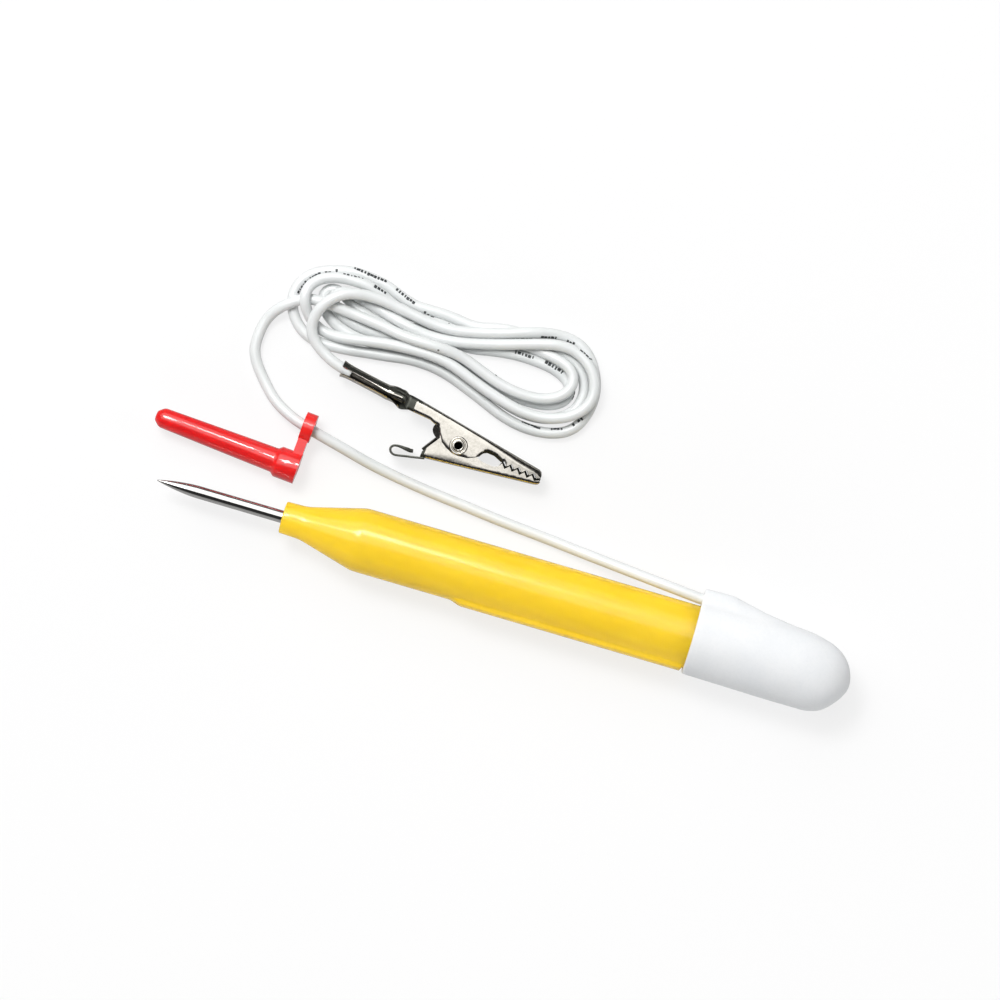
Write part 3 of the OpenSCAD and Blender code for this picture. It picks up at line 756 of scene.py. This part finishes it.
# ---------------------------------------------------------------- tip cover
def settled(ob):
    """applies the modifiers"""
    bpy.context.view_layer.update()
    deps = bpy.context.evaluated_depsgraph_get()
    me = bpy.data.meshes.new_from_object(ob.evaluated_get(deps))
    old = ob.data
    ob.modifiers.clear()
    ob.data = me
    me.name = ob.name
    bpy.data.meshes.remove(old)
    return ob


def cut(ob, other, op="DIFFERENCE"):
    m = ob.modifiers.new("cut", "BOOLEAN")
    m.operation = op
    m.solver = "EXACT"
    m.object = other
    settled(ob)
    bpy.data.objects.remove(other)
    return ob


def softened(ob, width, segments=3, angle=38.0, smooth=40.0, material=-1):
    m = ob.modifiers.new("edges", "BEVEL")
    m.material = material
    m.width = width * MM
    m.segments = segments
    m.limit_method = "ANGLE"
    m.angle_limit = math.radians(angle)
    m.harden_normals = False
    settled(ob)
    return tidy(ob, smooth, 0)


def block(name, lo, hi, place):
    (a, b, c), (d, e, f) = lo, hi
    v = [(a, b, c), (d, b, c), (d, e, c), (a, e, c), (a, b, f), (d, b, f), (d, e, f), (a, e, f)]
    return make(name, place(np.array(v, float)), [(0, 3, 2, 1), (4, 5, 6, 7), (0, 1, 5, 4), (1, 2, 6, 5), (2, 3, 7, 6), (3, 0, 4, 7)], 30)


def ring_about(name, profile, place, centre_y, n=72):
    """a lathe about a line parallel to the local x axis"""
    return lathe(name, profile, lambda g: place(np.asarray(g) + np.array([0, centre_y, 0])), n)


cover = lathe("cover_body", [(0, 0), (0, 3.56), (4.75, 3.56), (5.0, 3.4), (5.55, 2.9), (5.9, 2.83), (12, 2.72), (20, 2.56), (28, 2.39), (32.4, 2.3), (33.0, 2.1), (33.9, 1.34), (34.1, 1.12), (34.2, 0.85), (34.2, 0)],
              from_cover, 96)
arm = block("cover_arm", (0.1, -10.6, -1.6), (2.3, -1.5, 1.6), from_cover)
boss = ring_about("cover_boss", [(-0.2, 0), (-0.2, 3.3), (2.4, 3.3), (2.4, 0)], from_cover, -9.6, 80)
cut(cover, arm, "UNION")
cut(cover, boss, "UNION")
cut(cover, ring_about("bore", [(-1, 0), (-1, 1.5), (30.5, 1.5), (31.2, 0)], from_cover, 0, 64))
cut(cover, ring_about("eye", [(-3, 0), (-3, 1.8), (6, 1.8), (6, 0)], from_cover, -9.6, 64))
softened(cover, 0.16, 3, 32, 40)
dress(cover, "red_plastic", "handle", ("tip_cover",))


# ---------------------------------------------------------------- clip
def sheet_solid(name, grid, thick, place, angle=30):
    """a closed sheet from a grid of points on its outer face; thick may vary by row"""
    g = np.asarray(grid, float)
    rows, cols, _ = g.shape
    du, dv = np.gradient(g, axis=0), np.gradient(g, axis=1)
    nrm = np.cross(du, dv)
    nrm /= np.maximum(np.linalg.norm(nrm, axis=2), 1e-9)[..., None]
    back = g + nrm * np.broadcast_to(np.asarray(thick, float), (rows,))[:, None, None]
    n = rows * cols
    faces = strips(rows, cols)
    faces += [tuple(n + i for i in f[::-1]) for f in strips(rows, cols)]
    border = [j for j in range(cols)] + [i * cols + cols - 1 for i in range(1, rows)] + [(rows - 1) * cols + j for j in range(cols - 2, -1, -1)] + [i * cols for i in range(rows - 2, 0, -1)]
    for k in range(len(border)):
        a, b = border[k], border[(k + 1) % len(border)]
        faces.append((a, n + a, n + b, b))
    return make(name, place(np.vstack([g.reshape(-1, 3), back.reshape(-1, 3)])), faces, angle)


def table(points):
    xs, ys = zip(*points)
    return lambda x: float(np.interp(x, xs, ys))


HALF = 3.2
upper_top = table([(-13.9, 6.7), (-9.4, 6.1), (19.0, 1.8), (19.6, 1.45), (19.9, 0.7)])
teeth_up = [p for i in range(5) for p in ((10.9 + 1.8 * i, 0.62), (11.8 + 1.8 * i, -0.38))]
upper_low = table([(-13.9, 3.4), (-8.2, 3.1), (-7.1, 2.65), (-5.75, 2.55), (-5.2, 1.7), (-4.8, 0.85), (-3.8, -0.6), (-2.5, -1.45), (-0.85, -2.08), (0.6, -2.2), (2.9, -1.85), (4.4, -1.05),
                   (5.25, -0.45), (5.5, 0.05), (5.85, 0.5), (6.6, 0.9), (8.3, 0.85), (9.4, 0.45), (10.3, 0.1)] + teeth_up + [(19.9, 0.1)])
upper_half = table([(-14, 3.2), (6, 3.2), (12, 3.05), (17, 2.8), (19.9, 2.55)])
upper_bend = table([(-14, 1.1), (-9, 0.8), (0, 0.72), (6, 0.85), (14, 1.3), (19.9, 1.25)])
A_PLATE, A_CORNER, A_TOP = 9, 6, 4
EDGE_STEPS = (0, 0.05, 0.11, 0.18, 0.26, 0.36, 0.48, 0.62, 0.8)


def u_section(top, low, half, bend, up=1):
    """half-open channel section as (v, z): from one plate's free edge over the fold to the other's"""
    bend = min(bend, 0.9 * abs(top - low))
    pts = [(low + (top - up * bend - low) * EDGE_STEPS[k], half) for k in range(A_PLATE)]
    pts += [(top - up * bend + up * bend * math.sin(a), half - bend + bend * math.cos(a)) for a in np.linspace(0, math.pi / 2, A_CORNER + 1)]
    pts += [(top, (half - bend) * (1 - 2 * k / A_TOP)) for k in range(1, A_TOP)]
    mirror = [(v, -z) for v, z in pts[:A_PLATE + A_CORNER + 1]][::-1]
    return np.array(pts + mirror)


N_SEC = len(u_section(6, 3, 3.2, 0.8))


def trough_section(v_c, r, open_from, open_to):
    """open roll as (v, z), from the seam's one side over the back to the other"""
    first = A_PLATE
    a = list(np.linspace(open_from, 48, first, endpoint=False))
    a += list(np.linspace(48, -42, A_CORNER + 1 + A_TOP - 1 + A_CORNER + 1, endpoint=False))
    a += list(np.linspace(-42, open_to - 360, A_PLATE))
    a = np.array(a)
    # the roll is pressed flat on its upper flank
    flat = r * math.cos(math.radians(34)) / np.cos(np.radians(np.clip(a, 6, 74) - 40))
    r = np.where((a > 6) & (a < 74), flat, r)
    a = np.radians(a)
    return np.stack([v_c + r * np.cos(a), r * np.sin(a)], -1)


def trough_axis(u):
    return 6.48 - (u + 30.7) * math.tan(math.radians(5.9))


grid, thick = [], []
for u, r, a0, a1 in [(-30.85, 1.96, 68, 136), (-30.5, 1.85, 72, 135), (-30.0, 1.76, 75, 134), (-29.3, 1.69, 77, 133), (-28.4, 1.65, 78, 132), (-26.5, 1.63, 79, 131), (-24, 1.63, 80, 130), (-22, 1.64, 84, 129), (-20.4, 1.67, 90, 128), (-19.3, 1.72, 94, 128)]:
    sec = trough_section(trough_axis(u), r, a0, a1)
    grid.append(np.column_stack([np.full(len(sec), u), sec]))
    thick.append(-0.36)
last = grid[-1][:, 1:]
first_u = u_section(upper_top(-13.6), upper_low(-13.6), 3.2, 0.9)
for k in range(1, 20):
    f = k / 20
    u = -19.3 + 5.7 * f
    g = np.full(N_SEC, ease(f))
    g[:A_PLATE] = ease((f - 0.6) / 0.34)
    g[-A_PLATE:] = ease(f / 0.62)
    g[A_PLATE:A_PLATE + 4] = (g[A_PLATE:A_PLATE + 4] + g[0]) / 2
    g = g[:, None]
    sec = last * (1 - g) + first_u * g
    # the neck's crown and the lip of the roll, as pressed
    crown = 0.42 * math.sin(math.pi * min(1, f * 1.25)) if f < 0.8 else 0
    sec[:, 0] += crown * np.clip((sec[:, 0] - 5.2) / 1.5, 0, 1)
    lip = -0.55 * math.exp(-((u + 15.6) / 1.3) ** 2)
    sec[:, 0] += lip * np.clip((5.0 - sec[:, 0]) / 1.5, 0, 1) * (np.arange(len(sec)) > len(sec) // 2)
    grid.append(np.column_stack([np.full(len(sec), u), sec]))
    thick.append(-0.36 - 0.14 * f)
stops = [-13.6, -12.4, -11, -9.6, -8.9, -8.2, -7.6, -7.1, -6.4, -5.75, -5.45, -5.2, -5.0, -4.8, -4.3, -3.8, -3.1, -2.5, -1.7, -0.85, 0, 0.6, 1.4, 2.2, 2.9, 3.7, 4.4, 4.9, 5.25, 5.4, 5.5, 5.65, 5.85, 6.2, 6.6, 7.2, 8.3, 8.9, 9.4, 9.9, 10.3]
stops += [p[0] for p in teeth_up] + [19.3, 19.6, 19.8, 19.9]
for u in sorted(set(stops)):
    sec = u_section(upper_top(u), upper_low(u), upper_half(u), upper_bend(u))
    # the plates' edge is pressed inwards round the eye
    dip = 0.45 * ease((u - 5.0) / 0.6) * ease((10.8 - u) / 0.7) * (1 - np.clip((sec[:, 0] - upper_low(u)) / 0.7, 0, 1)) ** 1.2
    # and slightly rolled in along the neck and the lobe
    rim = 0.28 * ease((-5.6 - u) / 0.6) + 0.15 * ease((u + 5.6) / 0.6) * ease((3.2 - u) / 1.5)
    dip = np.maximum(dip, rim * (1 - np.clip((sec[:, 0] - upper_low(u)) / 0.5, 0, 1)) ** 1.3)
    sec[:, 1] -= np.sign(sec[:, 1]) * dip
    grid.append(np.column_stack([np.full(N_SEC, u), sec]))
    thick.append(-0.5)
jaw = sheet_solid("jaw_upper", grid, np.array(thick), from_clip)


def paint_shade_inside(ob, axis, keep=-99.0):
    """the sheet's faces that look towards the channel's axis are painted dark as painted shade; v of the axis is a
    function of u
    """
    ob.data.materials.append(M["nickel_painted_shade"])
    c, s_ = math.cos(math.radians(-5.46)), math.sin(math.radians(-5.46))
    for f in ob.data.polygons:
        x, y, z = f.center[0] / MM + 18.2, f.center[1] / MM - 25.2, f.center[2] / MM - 3.6
        u, v = x * c + y * s_, -x * s_ + y * c
        nv = -f.normal[0] * s_ + f.normal[1] * c
        away = np.array([v - axis(u), z])
        away /= max(np.linalg.norm(away), 1e-9)
        bright = u < -16 and nv > 0.3
        if u > keep and not bright and nv * away[0] + f.normal[2] * away[1] < -0.5:
            f.material_index = 1


def cross_pin(name, r, n=72):
    a = np.linspace(0, TAU, n, endpoint=False)
    v = [(r * math.cos(x), r * math.sin(x), z) for z in (-6.0, 6.0) for x in a]
    f = strips(2, n, False, True) + [tuple(range(n))[::-1], tuple(range(n, 2 * n))]
    return make(name, from_clip(np.array(v)), f, 30)


cut(jaw, cross_pin("pin_a", 1.21))
dress(jaw, "nickel_steel", "handle", ("clip_upper_jaw",))
# painted shade: the channel's inner faces are painted dark, except the roll's faces that look up the channel
paint_shade_inside(jaw, lambda u: trough_axis(u) if u < -15 else float(np.interp(u, [-15, -13, 20], [4.9, 4.6, 0.4])))
for f in jaw.data.polygons:
    # painted shade: the neck's pressed hollow and the eye's pressed border are painted dark
    x, y = f.center[0] / MM + 18.2, f.center[1] / MM - 25.2
    u, v = 0.9955 * x - 0.0951 * y, 0.0951 * x + 0.9955 * y
    if f.center[2] / MM > 4.8 and (-16.2 < u - 0.5 * (v - 4.6) < -12.2 or (5.3 < u < 10.2 and v < upper_low(u) + 0.62)):
        f.material_index = 1
    # painted shade: the upper flank of the roll is painted dark too
    if f.center[2] / MM > 4.2 and u < -15 and v > trough_axis(u) + 0.5:
        f.material_index = 1
# painted shade: the bevelled edges take the dark painted-shade material
softened(jaw, 0.10, 2, 40, 30, 1)

LOW = 2.5
teeth_low = [p for i in range(5) for p in ((10.6 + 1.8 * i, -0.05), (11.5 + 1.8 * i, -1.05))]
lower_free = table([(-7.2, -4.2), (-6.5, -3.1), (-4.6, 0), (-4.0, 0.95), (-3.4, 1.7), (-2.5, 2.25), (-1.5, 2.6), (1, 2.6), (2.0, 2.2), (2.8, 1.6), (4, 0), (4.7, -0.75), (5.4, -1.2), (6.6, -1.42), (8.4, -1.5), (9.3, -1.35), (10.0, -1.0)]
                   + teeth_low + [(19.8, -0.5), (20, -0.8)])
lower_fold = table([(-7.2, -5.6), (-6.4, -5.5), (4.3, -4), (19.3, -1.8), (19.8, -1.5), (20, -1.25)])
lower_half = table([(-7.2, 2.5), (6, 2.5), (12, 2.4), (20, 2.05)])
stops = [-7.2, -6.9, -6.5, -6.0, -5.3, -4.6, -4.3, -4.0, -3.7, -3.4, -2.9, -2.5, -2.0, -1.5, -0.8, 0, 1, 1.5, 2.0, 2.4, 2.8, 3.4, 4, 4.3, 4.7, 5.0, 5.4, 6.0, 6.6, 7.5, 8.4, 8.9, 9.3, 9.7, 10.0] + [p[0] for p in teeth_low] + [19.5, 19.8, 19.92, 20]
grid = []
for u in sorted(set(stops)):
    sec = u_section(lower_fold(u), lower_free(u), lower_half(u), 0.8, -1)
    far = u_section(lower_fold(u), lower_free(u) + 0.75 * ease((u - 10) / 0.8), lower_half(u), 0.8, -1)
    sec[-A_PLATE:] = far[-A_PLATE:]
    grid.append(np.column_stack([np.full(N_SEC, u), sec]))
lower = sheet_solid("jaw_lower", np.array(grid)[:, ::-1], -0.5, from_clip)
cut(lower, cross_pin("pin_b", 1.25))


def ribbon(name, line, half, thickness, place, cols=9):
    """a strip of sheet that follows a line (u, v) and spans z; half width may vary along it"""
    p = np.asarray(line, float)
    h = np.broadcast_to(np.asarray(half, float), (len(p),))
    z = np.linspace(-1, 1, cols)
    g = np.stack([np.repeat(p[:, :1], cols, 1), np.repeat(p[:, 1:2], cols, 1), h[:, None] * z[None]], -1)
    return sheet_solid(name, g, thickness, place)


# thumb tab: leaves the fold, runs back and closes in a flat loop
loop = [(-6.2, -5.25), (-8.5, -5.9), (-10.6, -6.45), (-12.0, -6.85), (-12.9, -7.0), (-13.55, -6.75), (-13.85, -6.2), (-13.6, -5.65), (-13.0, -5.4), (-12.0, -5.35), (-10.9, -5.45), (-9.8, -5.5), (-9.0, -5.3)]
line = catmull(loop, 0.28, 2)
s = np.linspace(0, 1, len(line))
half = np.interp(s, [0, 0.1, 0.25, 0.85, 1], [2.45, 2.45, 2.3, 2.2, 1.9])
tab = ribbon("tab", line, half, -np.interp(s, [0, 0.7, 0.82, 0.9, 1], [0.5, 0.5, 0.75, 0.95, 0.85]), from_clip)
softened(tab, 0.12, 2, 60, 30)
cut(lower, tab, "UNION")
# the heel's ears, bent inwards behind the upper jaw
for side_ in (1, -1):
    # the web's bend along the plate's back edge
    rows_ = []
    away = np.array([-0.85, 0.53])
    for f in np.linspace(0, 1, 9):
        foot = np.array([-6.95, -4.0]) * (1 - f) + np.array([-4.55, 0.1]) * f
        rows_.append([(foot[0] + away[0] * d, foot[1] + away[1] * d, side_ * z) for d, z in
                      [(-0.55, 2.49), (-0.3, 2.49), (-0.12, 2.4), (0.1, 2.17), (0.35, 1.86), (0.6, 1.53), (0.74, 1.2), (0.76, 0.8), (0.76, 0.3)]])
    bend_ = sheet_solid("bend", np.array(rows_), -0.4 if side_ > 0 else 0.4, from_clip)
    cut(lower, bend_, "UNION")
    rows_ = []
    for v, left in [(-0.35, -5.0), (0.0, -5.7), (0.35, -6.2), (0.8, -6.6), (1.3, -6.85), (1.9, -6.9), (2.5, -6.75), (2.85, -6.4), (3.0, -5.8)]:
        uu = np.linspace(left, -3.7, 8)
        fall = 0.8 * (np.sqrt((uu + 4.5) ** 2 + 0.03) - (uu + 4.5)) / 2
        if side_ < 0:
            # this side's ear stays nearly flat, outside the spring's fixed leg
            fall = np.minimum(fall, 0.28)
        rows_.append(np.column_stack([uu, np.full(8, v), side_ * (2.45 - fall)]))
    ear = sheet_solid("ear", np.array(rows_), 0.4 if side_ > 0 else -0.4, from_clip)
    cut(lower, ear, "UNION")
dress(lower, "nickel_steel", "lower_jaw", ("clip_lower_jaw",))
# painted shade: the channel's inner faces are painted dark
paint_shade_inside(lower, lambda u: float(np.interp(u, [-6, 20], [-1.5, -1.2])), -6.4)
# painted shade: the faces at the lower jaw's back end and on the thumb tab that face up or down are painted dark
for f in lower.data.polygons:
    if f.center[0] / MM < -24.9 and abs(f.normal[2]) > 0.45:
        f.material_index = 1
# painted shade: the bevelled edges take the dark painted-shade material
softened(lower, 0.08, 2, 40, 30, 1)

# semi-tubular rivet: a plain head below, a rolled rim round its blind hole above
prof = rounded([(0.02, -3.6), (1.2, -3.6), (1.75, -3.52), (2.08, -3.38), (2.1, -3.22), (1.19, -3.2), (1.19, 3.2), (2.1, 3.21), (2.1, 3.36), (1.9, 3.5), (1.66, 3.5), (1.52, 3.36), (1.4, 3.36), (1.28, 3.56), (1.02, 3.6), (0.86, 3.5), (0.83, 3.3), (0.83, -0.6), (0.02, -1.4)],
               [0, 0.2, 0.2, 0.08, 0.02, 0, 0, 0.02, 0.06, 0.1, 0.06, 0.05, 0.05, 0.1, 0.12, 0.05, 0, 0.05, 0], 4)
a = np.linspace(0, TAU, 72, endpoint=False)
g = np.stack([prof[:, :1] * np.cos(a), prof[:, :1] * np.sin(a), np.repeat(prof[:, 1:], 72, 1)], -1)
caps = [tuple(range(72)), tuple((len(prof) - 1) * 72 + j for j in range(72))]
rivet = make("rivet_eyelet", from_clip(g.reshape(-1, 3)), strips(len(prof), 72, False, True) + caps, 40)
dress(rivet, "nickel_steel", "handle", ("clip_rivet",))
# painted shade: the wall and floor of the rivet's blind hole are painted dark
rivet.data.materials.append(M["nickel_painted_shade"])
for f in rivet.data.polygons:
    x, y, z = f.center[0] / MM + 18.2, f.center[1] / MM - 25.2, f.center[2] / MM - 3.6
    if math.hypot(x, y) < 0.87 and -3 < z < 3.45:
        f.material_index = 1

# torsion spring: the coil and one leg stay with the upper jaw, the other leg goes with the lower one
wire = [(-7.6, 4.9, -1.5), (-5.5, 4.1, -1.5), (-3.5, 3.25, -1.5), (-1.6, 2.3, -1.5)]
for k in range(0, 97):
    ang = math.radians(68 - k * 1215.9 / 96)
    wire.append((1.72 * math.cos(ang), 1.72 * math.sin(ang), -1.5 + 3 * k / 96))
coil = np.array(wire)


def wire_mesh(name, pts, r, place, sides=12):
    p = place(np.asarray(pts, float))
    t_ = np.gradient(p, axis=0)
    t_ /= np.linalg.norm(t_, axis=1)[:, None]
    u_ = np.cross(t_[0], [0, 0, 1.0])
    u_ /= np.linalg.norm(u_)
    a_ = np.linspace(0, TAU, sides, endpoint=False)
    rings_ = []
    for q, d in zip(p, t_):
        u_ = u_ - (u_ @ d) * d
        u_ /= np.linalg.norm(u_)
        w_ = np.cross(d, u_)
        rings_.append(q + r * (np.cos(a_)[:, None] * u_ + np.sin(a_)[:, None] * w_))
    v_ = np.vstack([np.array(rings_).reshape(-1, 3), p[:1], p[-1:]])
    n_ = len(p)
    f_ = strips(n_, sides, False, True)
    for j in range(sides):
        k_ = (j + 1) % sides
        f_ += [(j, n_ * sides, k_), ((n_ - 1) * sides + j, (n_ - 1) * sides + k_, n_ * sides + 1)]
    return make(name, v_, f_, 50)


spring = wire_mesh("spring_coil", coil, 0.225, from_clip)
dress(spring, "spring_steel", "handle", ("clip_spring",))
end = coil[-1]
leg = wire_mesh("spring_leg", catmull([tuple(end + (0.12, 0.28, 0)), tuple(end), (-2.8, -3, 1.5), (-4.5, -3.7, 1.5), (-6.2, -4.4, 1.5)], 0.3), 0.225, from_clip)
dress(leg, "spring_steel", "lower_jaw")

# bared strands in the trough, tinned with solder
strands = []
for k in range(7):
    ph = TAU * k / 6
    rad = 0 if k == 6 else 0.3
    pts = []
    for u in np.linspace(-28.6, -15.5, 60):
        turn = ph + (u + 28.6) * 0.9
        squeeze = 1.0 if u < -19 else 0.8
        pts.append((u, trough_axis(u) - 0.25 + rad * squeeze * math.cos(turn), -0.15 + rad * squeeze * math.sin(turn)))
    strands.append(wire_mesh(f"strand{k}", pts, 0.17, from_clip, 8))
core = strands[0]
bm = bmesh.new()
for ob in strands:
    bm.from_mesh(ob.data)
bm.to_mesh(core.data)
bm.free()
for ob in strands[1:]:
    bpy.data.objects.remove(ob)
core.name = "core_strands"
tidy(core, 50, 0)
dress(core, "tinned", "handle", ("core_clip_end",))

# ---------------------------------------------------------------- the pieces inside keep their CAD shape
for node, look in {"front_spring": "spring_steel", "cell_front": "cell_jacket", "cell_rear": "cell_jacket", "lamp_holder": "holder_plastic",
                   "lamp_socket": "brass", "lamp_contact": "spring_steel", "lamp_shell": "brass", "lamp_glass": "lamp_glass",
                   "solder_tag": "brass", "core_lamp_end": "copper"}.items():
    wear(M[look], [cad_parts[node]])

# ---------------------------------------------------------------- floor, light
floor_mesh = bpy.data.meshes.new("floor")
floor_mesh.from_pydata([(-3, -3, 0), (3, -3, 0), (3, 3, 0), (-3, 3, 0)], [], [(0, 1, 2, 3)])
floor = link(bpy.data.objects.new("floor", floor_mesh))
# a pale sheet that is lit from below as well, so that shadows on it stay faint
k = Look("floor_sheet", Roughness=0.9, Emission_Strength=0.755)
k.shader.inputs["Specular IOR Level"].default_value = 0.0
k.shader.inputs["Emission Color"].default_value = (1, 1, 1, 1)
k.set("Base Color", k.ramp(k.noise(6, 2), [(0.3, (0.185, 0.185, 0.185, 1)), (0.7, (0.19, 0.19, 0.19, 1))]))
floor.data.materials.append(k.mat)
floor.visible_glossy = False

CANOPY = 2.0
UPWARD = Vector((-0.2814, 0.9596, 0))   # the picture's upward direction on the floor


def area(name, tilt, across, dist, size, power, turn=0.0):
    """a soft light: tilt is its angle from straight above towards the picture's top, across towards its right"""
    right = Vector((0.9596, 0.2814, 0))
    d = (Vector((0, 0, 1)) + UPWARD * math.tan(math.radians(tilt)) + right * math.tan(math.radians(across))).normalized()
    data = bpy.data.lights.new(name, "AREA")
    data.shape = "RECTANGLE"
    data.size, data.size_y = size
    data.energy = power
    ob = link(bpy.data.objects.new(name, data))
    ob.location = Vector((-0.006, 0.016, 0)) + d * dist
    ob.rotation_euler = (-d).to_track_quat("-Z", "Y").to_euler()
    return ob


area("key", 28, -17, 1.0, (0.34, 0.27), 6.2)
fill = area("fill", -76, 0, 1.3, (1.4, 0.5), 5.6)
fill.visible_glossy = False
# a narrow strip that only shows as a crisp line in glossy plastic
strip = area("strip", 31, 2.5, 1.0, (0.085, 0.24), 1.45)
strip.visible_diffuse = False
# a low soft light on the cap's end
side = area("side", 0, 70, 1.1, (0.5, 0.4), 2.5)
side.visible_glossy = False

# The rest of the studio: a broad pale canopy on the picture's upper side, dark all round, a dim lower side
world = bpy.data.worlds.new("studio")
bpy.context.scene.world = world
world.use_nodes = True
wn, wl = world.node_tree.nodes, world.node_tree.links
wn.clear()
coord = wn.new("ShaderNodeTexCoord").outputs["Generated"]


def dot(vec):
    m = wn.new("ShaderNodeVectorMath")
    m.operation = "DOT_PRODUCT"
    wl.new(coord, m.inputs[0])
    m.inputs[1].default_value = vec
    return m.outputs["Value"]


def curve(value, low, high, stops):
    """a grey ramp over value, given as (value, grey) pairs"""
    m = wn.new("ShaderNodeMapRange")
    m.inputs["From Min"].default_value = low
    m.inputs["From Max"].default_value = high
    wl.new(value, m.inputs["Value"])
    r = wn.new("ShaderNodeValToRGB")
    els = r.color_ramp.elements
    while len(els) < len(stops):
        els.new(0.5)
    for e_, (at, grey) in zip(els, stops):
        e_.position = (at - low) / (high - low)
        e_.color = (grey, grey, grey, 1)
    wl.new(m.outputs["Result"], r.inputs["Fac"])
    return r.outputs["Color"]


def combine(op, a_, b_):
    m = wn.new("ShaderNodeMix")
    m.data_type = "RGBA"
    m.blend_type = op
    m.inputs["Factor"].default_value = 1
    for socket, v_ in ((m.inputs[6], a_), (m.inputs[7], b_)):
        if hasattr(v_, "is_linked"):
            wl.new(v_, socket)
        else:
            socket.default_value = v_
    return m.outputs[2]


tilt = wn.new("ShaderNodeMath")
tilt.operation = "ARCTAN2"
wl.new(dot(tuple(UPWARD)), tilt.inputs[0])
wl.new(dot((0, 0, 1)), tilt.inputs[1])
deg = math.pi / 180
TOP = 4.0
canopy = curve(tilt.outputs[0], -math.pi, math.pi, [(-180 * deg, 0), (-6 * deg, 0), (0.0, 1), (64 * deg, 1), (74 * deg, 0), (180 * deg, 0)])
sides = curve(dot((0.9596, 0.2814, 0)), -1, 1, [(-1, 0), (-0.84, 0), (-0.72, 1), (0.2, 1), (0.3, 0), (1, 0)])
rest = curve(tilt.outputs[0], -math.pi, math.pi, [(-180 * deg, 0.52), (-95 * deg, 0.50), (-66 * deg, 0.38), (-58 * deg, 0.04), (-12 * deg, 0.03), (76 * deg, 0.03), (86 * deg, 0.14), (120 * deg, 0.14), (145 * deg, 0.43), (180 * deg, 0.52)])
lit = combine("MULTIPLY", combine("MULTIPLY", canopy, sides), (CANOPY / TOP, CANOPY / TOP, CANOPY / TOP, 1))
dim = combine("MULTIPLY", rest, (1 / TOP, 1 / TOP, 1 / TOP, 1))
back = wn.new("ShaderNodeBackground")
back.inputs["Strength"].default_value = TOP
wl.new(combine("ADD", lit, dim), back.inputs["Color"])
out = wn.new("ShaderNodeOutputWorld")
wl.new(back.outputs["Background"], out.inputs["Surface"])

view = bpy.context.scene.view_settings
view.view_transform = "Standard"
view.look = "None"
view.exposure = 0.0
view.gamma = 1.0
